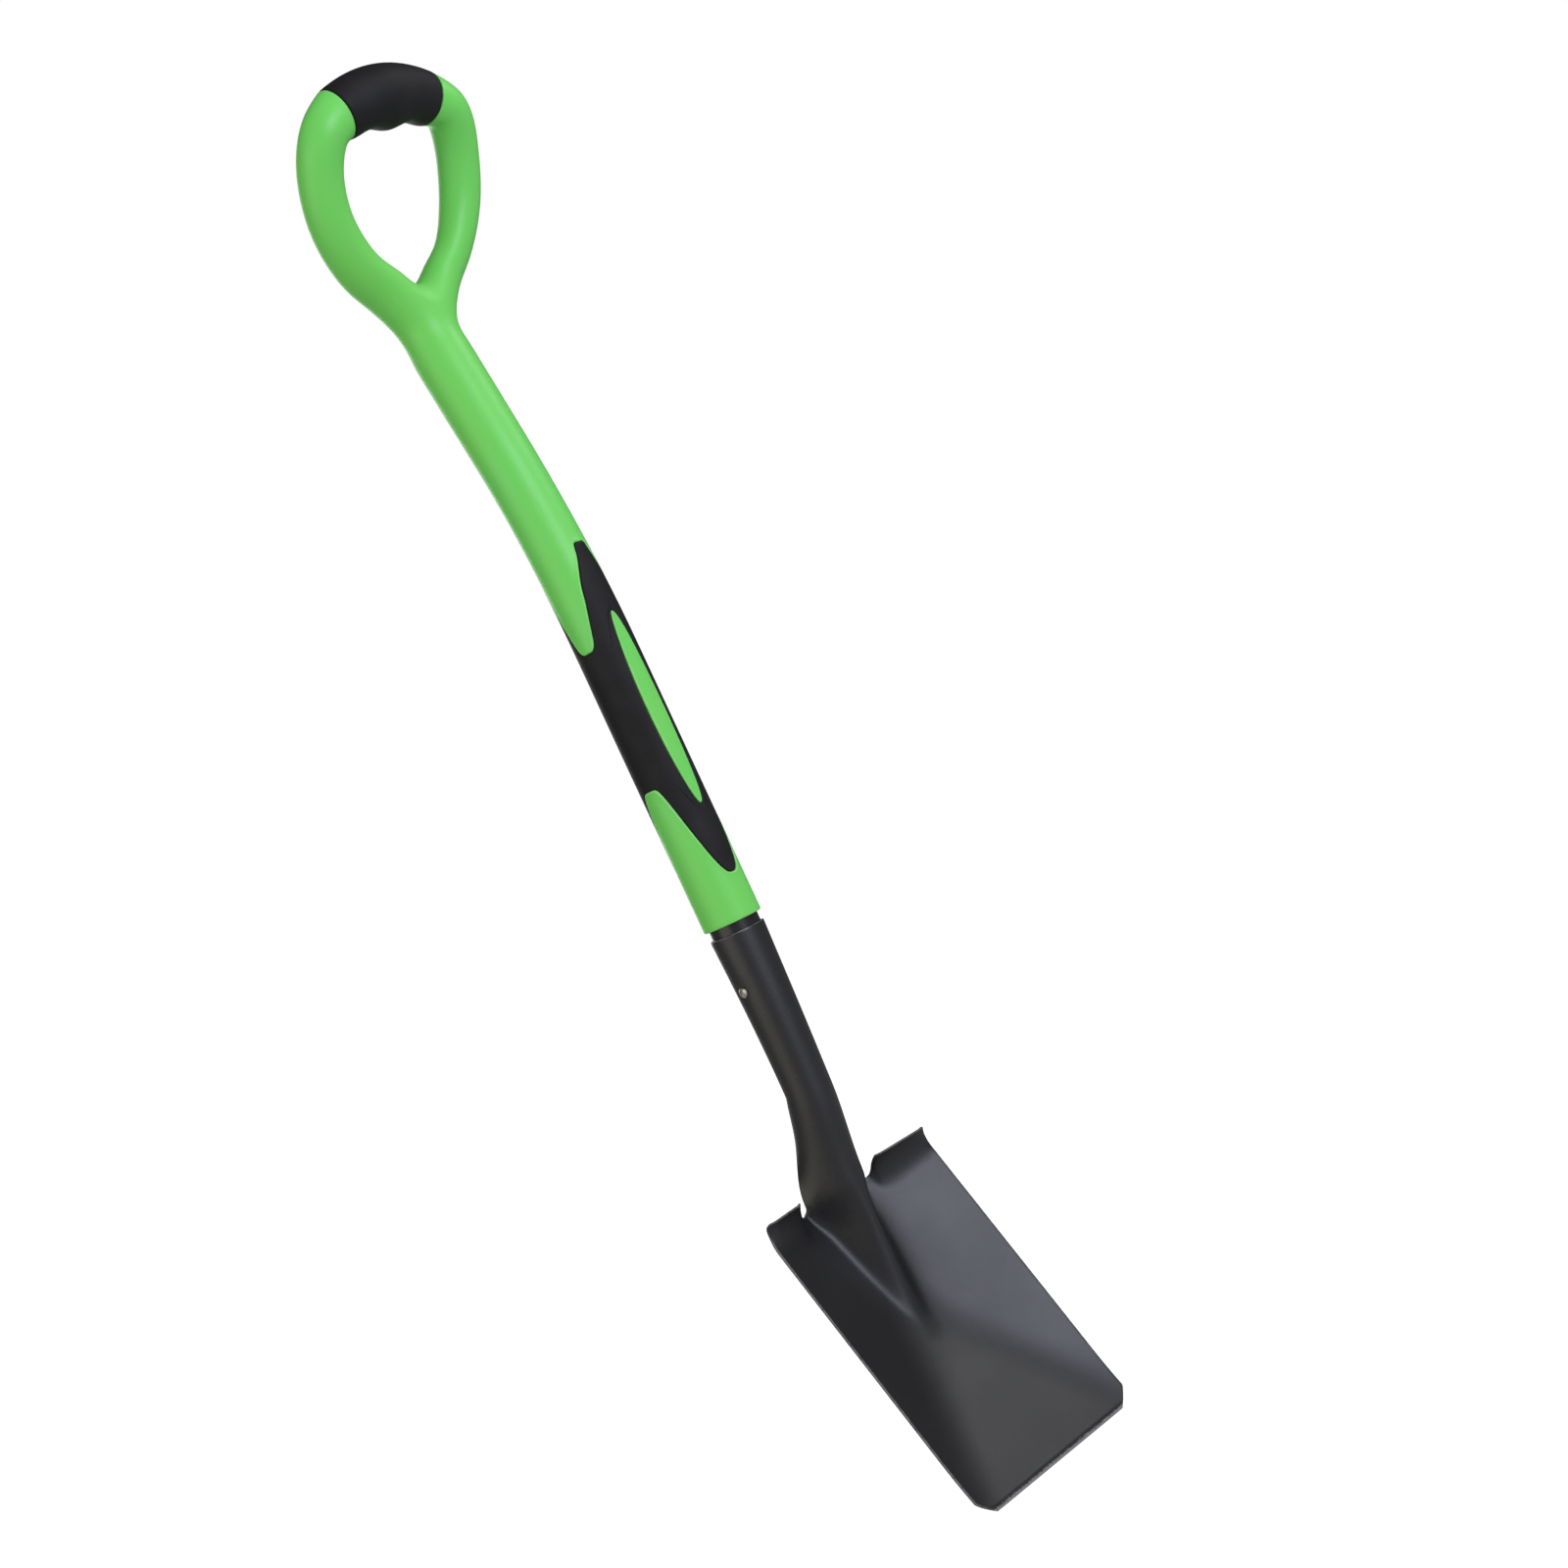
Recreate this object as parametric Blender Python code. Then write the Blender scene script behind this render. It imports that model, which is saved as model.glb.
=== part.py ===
"""Garden border spade with a D-handle, as an assembly of eight separate pieces.

Sizes are in millimetres and degrees, and become metres where meshes are made. The tool stands
upright. It is laid out along a spine that starts at the lower end of the green sleeve, runs up the
straight shaft and bends back, then forward into the handle. -Y is the front, the side that the
blade's hollow faces. The whole is then moved so that the point under the crossbar's middle, by
which the tool hangs, is the origin.
"""
import math
import bpy
import bmesh
from mathutils import Vector

MM = 0.001

# Fits
CLEARANCE = 0.3
SOCKET_FIT = 0.35

# Shaft: the spine's straight and curved runs
STRAIGHT_LENGTH = 180.0
SHAFT_BEND_RADIUS = 850.0
SHAFT_BEND_ANGLE = 10.0
UPPER_STRAIGHT_LENGTH = 64.0
NECK_BEND_RADIUS = 95.0
NECK_BEND_ANGLE = 27.0
HANDLE_CURVE_RADIUS = 490.0
HANDLE_CURVE_LENGTH = 150.0
SHAFT_BEND_LENGTH = SHAFT_BEND_RADIUS * math.radians(SHAFT_BEND_ANGLE)
NECK_START = STRAIGHT_LENGTH + SHAFT_BEND_LENGTH + UPPER_STRAIGHT_LENGTH

# Steel tube and its plugs
TUBE_RADIUS = 16.0
TUBE_WALL = 1.2
TUBE_REACH_IN_SOCKET = 96.0
LOWER_PLUG_START = 20.0
LOWER_PLUG_LENGTH = 74.0
UPPER_PLUG_SPIGOT = 24.0
UPPER_PLUG_FLANGE = 3.0
UPPER_PLUG_DEPTH = 2.0
LOWER_PLUG_STEPS = 4
TUBE_SIDES = 32
BEND_STEPS = 6
SOCKET_STEPS = 6

# Green sleeve
SLEEVE_WALL = 2.95
SLEEVE_RADIUS = TUBE_RADIUS + SLEEVE_WALL
SLEEVE_WAIST_NARROWING = 0.55
SLEEVE_WAIST_ABOVE_STRAIGHT = 105.0
SLEEVE_TOP_NARROWING = 0.25
SLEEVE_TOP_BELOW_NECK = 8.0
SLEEVE_END_ROUNDING = 1.2
SLEEVE_END_NARROWING = 0.7
SLEEVE_WAIST_AT = STRAIGHT_LENGTH + SLEEVE_WAIST_ABOVE_STRAIGHT
SLEEVE_TOP_RADIUS = SLEEVE_RADIUS - SLEEVE_TOP_NARROWING
SLEEVE_TOP = NECK_START - SLEEVE_TOP_BELOW_NECK

# D-handle: its neck, arms, crossbar and crotch, placed along the spine and across it.
# NECK_SHAPE: height above the neck's start, then how much wider and deeper than the sleeve.
# ARM_BELOW_WIDEST: shares of the loop's half width, of the climb from the crotch and of the low
# skew, then what is added to the arm's half width and half depth.
# ARM_ABOVE_WIDEST: shares of the half width, of the climb to the crossbar, of the bow and of the
# skew, then the same two additions.
NECK_SHAPE = ((0.0, 1.0, 1.0), (12.0, 0.95, 0.95), (24.0, 1.15, 0.95))
ARM_BELOW_WIDEST = (
    (0.41, 0.07, 1.0, 0.0, 1.0),
    (0.655, 0.25, 1.0, -1.0, 0.0),
    (0.85, 0.50, 0.5, -0.4, 0.0),
    (0.97, 0.78, 0.0, 0.0, 0.0),
)
ARM_ABOVE_WIDEST = (
    (1.0, 0.15, 0.3, 1.0, 0.0, 0.0),
    (0.955, 0.56, 0.8, 0.0, 0.9, 0.6),
    (0.85, 0.84, 1.0, 0.0, 1.4, 1.2),
)
ARM_WIDTH = 27.4
ARM_DEPTH = 27.2
ARM_SKEW = 0.3
ARM_SKEW_BELOW = 1.5
ARM_BOW = 3.4
LOOP_HALF_WIDTH = 54.2
CROTCH_ABOVE_NECK = 41.6
CROTCH_HALF_DEPTH = 8.4
CROTCH_BACK_DROP = 3.0
LOOP_WIDEST_ABOVE_NECK = 113.6
JUNCTION_ABOVE_NECK = 154.3
JUNCTION_HALF_SPACING = 35.4
JUNCTION_RADIUS = 16.4
CROSSBAR_ARCH = 5.8
CROSSBAR_CORE_RADIUS = 12.0
CROTCH_AT = NECK_START + CROTCH_ABOVE_NECK
LOOP_WIDEST_AT = NECK_START + LOOP_WIDEST_ABOVE_NECK
JUNCTION_AT = NECK_START + JUNCTION_ABOVE_NECK
CROSSBAR_AT = JUNCTION_AT + CROSSBAR_ARCH
ARM_SETS_OFF_BELOW_CROTCH = 24.0
CROSSBAR_RINGS = 7
CROSSBAR_SLOPE_STEP = 0.5
RING_POINTS = 8
CIRCLE_PULL = 0.9024

# Soft crossbar grip
CROSSBAR_GRIP_RADIUS = 16.6
CROSSBAR_GRIP_CROWN = 3.2
FINGER_GROOVE_DEPTH = 2.6
FINGER_GROOVE_SPACING = 34.0
CROSSBAR_GRIP_END_GAP = 0.36
CROSSBAR_GRIP_SIDES = 24
CROSSBAR_GRIP_STATIONS = 17

# Soft shaft grip: a band with two long points up and down and rounded bays between them. The
# shapes give degrees from a point and the share of the way from the point to the bay.
UPPER_POINT_SHAPE = (
    (13.5, 0.0),
    (16.5, 0.03),
    (19.5, 0.10),
    (41.0, 0.394),
    (47.0, 0.535),
    (56.0, 0.709),
    (63.0, 0.85),
    (68.0, 0.937),
    (77.0, 0.992),
)
LOWER_POINT_SHAPE = ((14.0, 0.03), (27.0, 0.18), (39.0, 0.40), (54.0, 0.71), (63.0, 0.88), (71.0, 0.98))
UPPER_EDGE_TURN = 11.0
LOWER_EDGE_TURN = 5.0
LEAF_TURN = 4.0
BAND_TOP = 247.0
BAND_BOTTOM = 29.0
BAND_BAY_TOP = 183.5
BAND_BAY_BOTTOM = 93.5
BAND_RECESS = 1.2
BAND_PROUD = 0.05
BAND_SIDES = 72
BAND_ROWS = 8
BAND_EDGE_SAMPLES = 8
CUTTER_REACH = 3.0
LEAF_MIDDLE = 138.0
LEAF_LENGTH = 129.0
LEAF_WIDTH = 15.4
LEAF_SIDES = 28

# Pressed steel blade
SHEET = 1.5
SOCKET_RIM = 6.0
SOCKET_CLOSED_TO = 112.0
SOCKET_LOWER_RADIUS = 15.0
SOCKET_TAPER_POWER = 1.35
SOCKET_SET_BACK = 1.6
SOCKET_SET_BACK_FROM = 40.0
SEAM_GAP = 1.2
BLADE_TOP_DROP = 188.0
BLADE_TOP_BACK = 1.6
BLADE_LIFT = 20.8
BLADE_LENGTH = 193.2
TOP_HALF_WIDTH = 74.4
BOTTOM_HALF_WIDTH = 73.6
CORNER_CUT = 11.0
CORNER_ROUNDING_POWER = 1.25
DISH_DEPTH = 24.8
DISH_ROUNDING = 18.0
CREASE_BLEND = 8.0
RIDGE_TIP_AT = 81.0
RIDGE_HEIGHT = 38.3
RIDGE_FALL_POWER = 1.12
RIDGE_TIP_BLEND = 5.0
RIDGE_SIDE_POWER = 2.4
RIDGE_WIDTHS = ((0.0, 26.8), (0.4, 24.0), (0.55, 22.0), (1.0, 14.0))
RIDGE_FINENESS = ((0.0, 1.65), (0.25, 4.0), (1.0, 5.0))
RIDGE_FOOT_SHARE = 0.42
RIDGE_FOOT_FULL_AT = 0.3
RIDGE_FOOT_WIDTH = 40.0
TREAD_CURL_RADIUS = 26.0
TREAD_HEIGHT = 23.2
TREAD_FALL = 4.6
TREAD_CORNER_CUT = 2.2
TREAD_INNER_CUT = 2.0
FOLD_BELOW_TOP = 5.0
FOLD_INNER_ROUNDING = 8.0
FOLD_OUTER_ROUNDING = 9.0
NOTCH_INNER_X = 24.4
NOTCH_OUTER_X = 33.0
NOTCH_TOP = 15.0
NOTCH_BOTTOM = 12.8
NOTCH_ROUNDING = 3.2
CURL_STARTS_INSIDE_NOTCH = 3.0
CURL_FULL_OUTSIDE_NOTCH = 2.0
STRIP_COLUMNS = 12
WING_COLUMNS = 6
FLARE_STEPS = 5
FLARE_LEAD = 2.0
FLARE_EDGE_SPREAD = 3.4
FLARE_EDGE_WAY = Vector((0.74, 0.67, 0.0))
SWELL_TO_ONE = 12.2
TREAD_STEPS = 3
NOTCH_ROWS = 4
RIDGE_ROWS = 8
FOOT_ROWS = 7
CORNER_ROWS = 2
SURFACE_SAMPLES = 160

# Rivet
RIVET_DROP = 41.4
RIVET_SHANK_RADIUS = 2.5
RIVET_HEAD_RADIUS = 3.4
RIVET_HEAD_HEIGHT = 1.3
RIVET_SIDES = 16

CAST = {
    "green_plastic": ((0.14, 0.63, 0.08), 0.32, 0.0),
    "soft_black": ((0.018, 0.018, 0.021), 0.6, 0.0),
    "blade_coating": ((0.035, 0.036, 0.041), 0.45, 0.3),
    "tube_coating": ((0.012, 0.012, 0.013), 0.4, 0.3),
    "rivet_steel": ((0.55, 0.55, 0.53), 0.35, 1.0),
    "plug_plastic": ((0.05, 0.05, 0.05), 0.55, 0.0),
}


def spine_runs():
    """Each run of the spine as its length and its curvature, positive where it leans back."""
    neck_turn = math.radians(NECK_BEND_ANGLE)
    return (
        (STRAIGHT_LENGTH, 0.0),
        (SHAFT_BEND_LENGTH, 1.0 / SHAFT_BEND_RADIUS),
        (UPPER_STRAIGHT_LENGTH, 0.0),
        (NECK_BEND_RADIUS * neck_turn, -1.0 / NECK_BEND_RADIUS),
        (HANDLE_CURVE_LENGTH, -1.0 / HANDLE_CURVE_RADIUS),
    )


def spine(distance):
    """The spine's point and lean at a distance along it; negative distances run down the shaft."""
    y = 0.0
    z = 0.0
    lean = 0.0
    left = distance
    for length, curvature in spine_runs():
        step = min(left, length)
        if curvature == 0.0:
            y += step * math.sin(lean)
            z += step * math.cos(lean)
        else:
            turned = lean + step * curvature
            y += (math.cos(lean) - math.cos(turned)) / curvature
            z += (math.sin(turned) - math.sin(lean)) / curvature
            lean = turned
        left -= step
        if left <= 0.0:
            break
    return Vector((0.0, y, z)), lean


def spine_front(lean):
    return Vector((0.0, -math.cos(lean), math.sin(lean)))


def round_the_shaft(angle, front):
    return math.sin(angle) * Vector((1.0, 0.0, 0.0)) + math.cos(angle) * front


def spine_ring(distance, radius, sides):
    """Points round the spine, counted from the front towards +X."""
    centre, lean = spine(distance)
    front = spine_front(lean)
    ring = []
    for index in range(sides):
        ring.append(centre + radius * round_the_shaft(2.0 * math.pi * index / sides, front))
    return ring


def smooth_curve(points, position):
    """A value read from a smooth curve through (position, value) points, level at both ends."""
    if position <= points[0][0]:
        return points[0][1]
    for index in range(len(points) - 1):
        start, low = points[index]
        end, high = points[index + 1]
        if position <= end:
            before = points[max(index - 1, 0)]
            after = points[min(index + 2, len(points) - 1)]
            slope_in = (high - before[1]) / (end - before[0]) if index > 0 else 0.0
            slope_out = (after[1] - low) / (after[0] - start) if index < len(points) - 2 else 0.0
            share = (position - start) / (end - start)
            span = end - start
            return (
                low * (1 + 2 * share) * (1 - share) ** 2
                + high * share ** 2 * (3 - 2 * share)
                + slope_in * span * share * (1 - share) ** 2
                - slope_out * span * share ** 2 * (1 - share)
            )
    return points[-1][1]


def smooth_step(low, high, value):
    share = min(max((value - low) / (high - low), 0.0), 1.0)
    return share * share * (3.0 - 2.0 * share)


def smooth_min(first, second, blend):
    nearness = max(blend - abs(first - second), 0.0) / blend
    return min(first, second) - nearness * nearness * blend / 4.0


def rounded_drop(distance, rounding):
    """How far a surface falls at a distance from its edge, where the edge has a quarter round."""
    inside = max(rounding - distance, 0.0)
    return rounding - math.sqrt(rounding ** 2 - inside ** 2)


def add_ring(bm, points):
    return [bm.verts.new(point * MM) for point in points]


def join_rows(bm, first, second):
    for index in range(len(first) - 1):
        bm.faces.new((first[index], first[index + 1], second[index + 1], second[index]))


def join_rings(bm, first, second):
    join_rows(bm, first + first[:1], second + second[:1])


def join_to_double(bm, coarse, fine):
    """Join a ring to one with twice its points, which starts at the same angle."""
    count = len(coarse)
    for index in range(count):
        here = coarse[index]
        following = coarse[(index + 1) % count]
        left = fine[2 * index]
        middle = fine[2 * index + 1]
        right = fine[(2 * index + 2) % len(fine)]
        bm.faces.new((here, left, middle))
        bm.faces.new((here, middle, following))
        bm.faces.new((following, middle, right))


def loft(bm, sections):
    rings = [add_ring(bm, section) for section in sections]
    for first, second in zip(rings, rings[1:]):
        join_rings(bm, first, second)
    return rings


def make_material(name):
    colour, roughness, metallic = CAST[name]
    material = bpy.data.materials.new(name)
    material.use_nodes = True
    shader = material.node_tree.nodes["Principled BSDF"]
    shader.inputs["Base Color"].default_value = (*colour, 1.0)
    shader.inputs["Roughness"].default_value = roughness
    shader.inputs["Metallic"].default_value = metallic
    return material


def make_object(name, bm, parent, material=None):
    mesh = bpy.data.meshes.new(name)
    bm.to_mesh(mesh)
    bm.free()
    mesh.shade_smooth()
    mesh.set_sharp_from_angle(angle=math.radians(35.0))
    piece = bpy.data.objects.new(name, mesh)
    bpy.context.scene.collection.objects.link(piece)
    piece.parent = parent
    if material is not None:
        mesh.materials.append(material)
    return piece


def make_solid(name, bm, parent, material=None):
    bmesh.ops.recalc_face_normals(bm, faces=bm.faces)
    return make_object(name, bm, parent, material)


def make_cutter(name, bm, parent):
    cutter = make_solid(name, bm, parent)
    cutter.hide_render = True
    cutter.display_type = "WIRE"
    return cutter


def cut(piece, cutter):
    modifier = piece.modifiers.new("cut by " + cutter.name, "BOOLEAN")
    modifier.operation = "DIFFERENCE"
    modifier.solver = "EXACT"
    modifier.object = cutter


# Socket sizes, which the tube inside it shares

def socket_radius(drop):
    """The socket's outer radius at a distance below the sleeve's end."""
    rim_radius = TUBE_RADIUS + SOCKET_FIT + SHEET
    share = (SOCKET_CLOSED_TO - drop) / (SOCKET_CLOSED_TO - SOCKET_RIM)
    share = min(max(share, 0.0), 1.0)
    return SOCKET_LOWER_RADIUS + (rim_radius - SOCKET_LOWER_RADIUS) * share ** SOCKET_TAPER_POWER


def socket_axis_back(drop):
    """How far the socket's axis has moved back from the shaft's."""
    share = max(drop - SOCKET_SET_BACK_FROM, 0.0) / (SOCKET_CLOSED_TO - SOCKET_SET_BACK_FROM)
    return SOCKET_SET_BACK * share * share


def socket_ring(drop, radius, sides):
    centre = Vector((0.0, socket_axis_back(drop), -drop))
    ring = []
    for index in range(sides):
        angle = 2.0 * math.pi * index / sides
        ring.append(centre + Vector((radius * math.sin(angle), -radius * math.cos(angle), 0.0)))
    return ring


def tube_radius(drop):
    """The tube's outer radius below the sleeve: it is swaged to follow the socket."""
    return min(TUBE_RADIUS, socket_radius(drop) - SHEET - SOCKET_FIT)


# Stations along the bent shaft that tube, bore and sleeve share, so that their facets stay parallel

def tube_top():
    return NECK_START - CLEARANCE - UPPER_PLUG_FLANGE - UPPER_PLUG_DEPTH


def bore_top():
    return tube_top() + UPPER_PLUG_FLANGE + 2.0 * CLEARANCE


def shaft_stations(end):
    shares = [step / BEND_STEPS for step in range(BEND_STEPS + 1)]
    return [STRAIGHT_LENGTH + SHAFT_BEND_LENGTH * share for share in shares] + [end]


def make_tube(parent):
    bm = bmesh.new()
    outer = []
    inner = []
    for step in range(SOCKET_STEPS, -1, -1):
        drop = SOCKET_RIM + (TUBE_REACH_IN_SOCKET - SOCKET_RIM) * step / SOCKET_STEPS
        outer.append(socket_ring(drop, tube_radius(drop), TUBE_SIDES))
        inner.append(socket_ring(drop, tube_radius(drop) - TUBE_WALL, TUBE_SIDES))
    for station in shaft_stations(tube_top()):
        outer.append(spine_ring(station, TUBE_RADIUS, TUBE_SIDES))
        inner.append(spine_ring(station, TUBE_RADIUS - TUBE_WALL, TUBE_SIDES))
    rings = loft(bm, outer + inner[::-1])
    join_rings(bm, rings[-1], rings[0])
    return make_solid("shaft_tube", bm, parent, make_material("tube_coating"))


def make_lower_plug(parent):
    bm = bmesh.new()
    sections = []
    for step in range(LOWER_PLUG_STEPS + 1):
        drop = LOWER_PLUG_START + LOWER_PLUG_LENGTH * step / LOWER_PLUG_STEPS
        radius = tube_radius(drop) - TUBE_WALL - 2.0 * CLEARANCE
        sections.append(socket_ring(drop, radius, TUBE_SIDES))
    rings = loft(bm, sections)
    bm.faces.new(rings[0])
    bm.faces.new(rings[-1])
    return make_solid("lower_tube_plug", bm, parent, make_material("plug_plastic"))


def make_upper_plug(parent):
    bm = bmesh.new()
    spigot_radius = TUBE_RADIUS - TUBE_WALL - CLEARANCE
    flange_under = tube_top() + CLEARANCE
    sections = (
        spine_ring(tube_top() - UPPER_PLUG_SPIGOT, spigot_radius, TUBE_SIDES),
        spine_ring(flange_under, spigot_radius, TUBE_SIDES),
        spine_ring(flange_under, TUBE_RADIUS, TUBE_SIDES),
        spine_ring(flange_under + UPPER_PLUG_FLANGE - CLEARANCE, TUBE_RADIUS, TUBE_SIDES),
    )
    rings = loft(bm, sections)
    bm.faces.new(rings[0])
    bm.faces.new(rings[-1])
    return make_solid("upper_tube_plug", bm, parent, make_material("plug_plastic"))


# Rivet

def rivet_profile(head_under):
    """Half of the rivet's outline, from its middle to the top of a low domed head."""
    profile = [(0.0, RIVET_SHANK_RADIUS), (head_under, RIVET_SHANK_RADIUS), (head_under, RIVET_HEAD_RADIUS)]
    for angle in (math.radians(30.0), math.radians(60.0)):
        rise = RIVET_HEAD_HEIGHT * math.sin(angle)
        profile.append((head_under + rise, RIVET_HEAD_RADIUS * math.cos(angle)))
    return profile


def cross_ring(x, radius):
    """A ring round the rivet's axis, which crosses the socket from side to side."""
    ring = []
    for index in range(RIVET_SIDES):
        angle = 2.0 * math.pi * index / RIVET_SIDES
        ring.append(Vector((x, radius * math.cos(angle), -RIVET_DROP + radius * math.sin(angle))))
    return ring


def make_rivet(parent):
    bm = bmesh.new()
    head_under = socket_radius(RIVET_DROP) + CLEARANCE
    half = rivet_profile(head_under)
    tip = head_under + RIVET_HEAD_HEIGHT
    outline = [(-x, radius) for x, radius in reversed(half)] + half[1:]
    rings = loft(bm, [cross_ring(x, radius) for x, radius in outline])
    for ring, x in ((rings[0], -tip), (rings[-1], tip)):
        centre = bm.verts.new(Vector((x, 0.0, -RIVET_DROP)) * MM)
        for index in range(RIVET_SIDES):
            bm.faces.new((ring[index], ring[(index + 1) % RIVET_SIDES], centre))
    return make_solid("socket_rivet", bm, parent, make_material("rivet_steel"))


def make_rivet_hole(parent):
    bm = bmesh.new()
    reach = 2.0 * TUBE_RADIUS
    hole_radius = RIVET_SHANK_RADIUS + CLEARANCE
    rings = loft(bm, [cross_ring(x, hole_radius) for x in (-reach, reach)])
    bm.faces.new(rings[0])
    bm.faces.new(rings[-1])
    return make_cutter("rivet_hole", bm, parent)


# Handle: cage rings, read in the curved sheet that the D lies in

def handle_point(across, along):
    return spine(along)[0] + Vector((across, 0.0, 0.0))


def arm_keys():
    """Centre, forward bow, half width, half depth and skew of the right arm, from the crotch up."""
    width = ARM_WIDTH / 2.0
    depth = ARM_DEPTH / 2.0
    rise = LOOP_WIDEST_AT - CROTCH_AT
    drop = JUNCTION_AT - LOOP_WIDEST_AT
    keys = []
    for sideways, climb, skew, widen, deepen in ARM_BELOW_WIDEST:
        place = (LOOP_HALF_WIDTH * sideways, CROTCH_AT + rise * climb, 0.0)
        keys.append((*place, width + widen, depth + deepen, ARM_SKEW + ARM_SKEW_BELOW * skew))
    for sideways, climb, bow, skew, widen, deepen in ARM_ABOVE_WIDEST:
        place = (LOOP_HALF_WIDTH * sideways, LOOP_WIDEST_AT + drop * climb, ARM_BOW * bow)
        keys.append((*place, width + widen, depth + deepen, ARM_SKEW * skew))
    keys.append((JUNCTION_HALF_SPACING, JUNCTION_AT, 0.0, JUNCTION_RADIUS, JUNCTION_RADIUS, 0.0))
    return keys


def crossbar_along(across):
    """The crossbar arches: it stands highest at the middle."""
    radius = (JUNCTION_HALF_SPACING ** 2 + CROSSBAR_ARCH ** 2) / (2.0 * CROSSBAR_ARCH)
    return CROSSBAR_AT - radius + math.sqrt(radius ** 2 - across ** 2)


def crossbar_frame(across):
    """Centre, outward direction and front direction of a ring on the crossbar."""
    nearby = (across + CROSSBAR_SLOPE_STEP, across, across - CROSSBAR_SLOPE_STEP)
    return sheet_frame(*[(x, crossbar_along(x)) for x in nearby])


def sheet_frame(before, here, after):
    """Centre, outward direction and front direction of a ring on the D's curved sheet."""
    centre = handle_point(*here)
    _, lean = spine(here[1])
    front = spine_front(lean)
    travel = (handle_point(*after) - handle_point(*before)).normalized()
    outward = travel.cross(front).normalized()
    return centre, outward, front


def sheet_ring(frame, half_width, half_depth, sides, skew=0.0):
    """An oval ring; skew makes it longer from its inner front to its outer back."""
    centre, outward, front = frame
    ring = []
    for index in range(sides):
        angle = 2.0 * math.pi * index / sides
        sideways = half_width * math.sin(angle) - skew * math.cos(angle)
        forward = half_depth * math.cos(angle) - skew * math.sin(angle)
        ring.append(centre + sideways * outward + forward * front)
    return ring


def pull_through(keys):
    """Control places whose subdivided curve passes through the keys."""
    pulled = [keys[0]]
    for before, here, after in zip(keys, keys[1:], keys[2:]):
        pulled.append(tuple(h - (b - 2.0 * h + a) / 6.0 for b, h, a in zip(before, here, after)))
    pulled.append(keys[-1])
    return pulled


def crossbar_places(count):
    """Places along the crossbar from the right junction to the left one."""
    places = []
    for index in range(count):
        across = JUNCTION_HALF_SPACING * (1.0 - 2.0 * index / (count - 1))
        places.append((across, crossbar_along(across)))
    return places


def make_handle_cage(parent):
    """The D as a coarse cage of quads, open at the neck, with creased shoulders at the crossbar."""
    bm = bmesh.new()
    crease = bm.edges.layers.float.new("crease_edge")

    neck_rings = []
    for above, widen, deepen in NECK_SHAPE:
        centre, lean = spine(NECK_START + above)
        frame = (centre, Vector((1.0, 0.0, 0.0)), spine_front(lean))
        radius = SLEEVE_TOP_RADIUS / CIRCLE_PULL
        neck_rings.append(add_ring(bm, sheet_ring(frame, radius * widen, radius * deepen, RING_POINTS)))
    for first, second in zip(neck_rings, neck_rings[1:]):
        join_rings(bm, first, second)
    branch = neck_rings[-1]

    centre, lean = spine(CROTCH_AT)
    forward = CROTCH_HALF_DEPTH * spine_front(lean)
    below = spine(CROTCH_AT - CROTCH_BACK_DROP)[0]
    crotch = add_ring(bm, (centre + forward, centre, below - forward))

    keys = arm_keys()
    travel = pull_through([(0.0, CROTCH_AT - ARM_SETS_OFF_BELOW_CROTCH)] + [key[:2] for key in keys])
    right_arm = []
    for index, key in enumerate(keys[:-1]):
        centre, outward, front = sheet_frame(travel[index], travel[index + 1], travel[index + 2])
        frame = (centre + key[2] * front, outward, front)
        ring_sizes = [size / CIRCLE_PULL for size in key[3:]]
        right_arm.append(sheet_ring(frame, *ring_sizes[:2], RING_POINTS, ring_sizes[2]))
    shoulder = JUNCTION_RADIUS / CIRCLE_PULL
    right_arm.append(sheet_ring(crossbar_frame(JUNCTION_HALF_SPACING), shoulder, shoulder, RING_POINTS))
    bar_inner = []
    core = CROSSBAR_CORE_RADIUS / CIRCLE_PULL
    places = crossbar_places(CROSSBAR_RINGS)
    for place, pulled in zip(places, pull_through(places)):
        _, outward, front = crossbar_frame(place[0])
        frame = (handle_point(*pulled), outward, front)
        bar_inner.append(add_ring(bm, sheet_ring(frame, core, core, RING_POINTS)))

    first_right = [branch[0], branch[1], branch[2], branch[3], branch[4], crotch[2], crotch[1], crotch[0]]
    first_left = [branch[0], branch[7], branch[6], branch[5], branch[4], crotch[2], crotch[1], crotch[0]]
    mirror = Vector((-1.0, 1.0, 1.0))
    for start, sign in ((first_right, 1), (first_left, -1)):
        ring = start
        for section in right_arm:
            points = section if sign == 1 else [point * mirror for point in section]
            following = add_ring(bm, points)
            join_rings(bm, ring, following)
            ring = following
        bar_end = bar_inner[0] if sign == 1 else bar_inner[-1]
        join_rings(bm, ring, bar_end)
        for loop in (ring, bar_end):
            for index in range(RING_POINTS):
                edge = bm.edges.get((loop[index], loop[(index + 1) % RING_POINTS]))
                edge[crease] = 1.0
    for first, second in zip(bar_inner, bar_inner[1:]):
        join_rings(bm, first, second)

    cage = make_solid("handle_cage", bm, parent)
    smoothing = cage.modifiers.new("round", "SUBSURF")
    smoothing.levels = 1
    smoothing.render_levels = 1
    smoothing.use_limit_surface = True
    return cage


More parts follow.
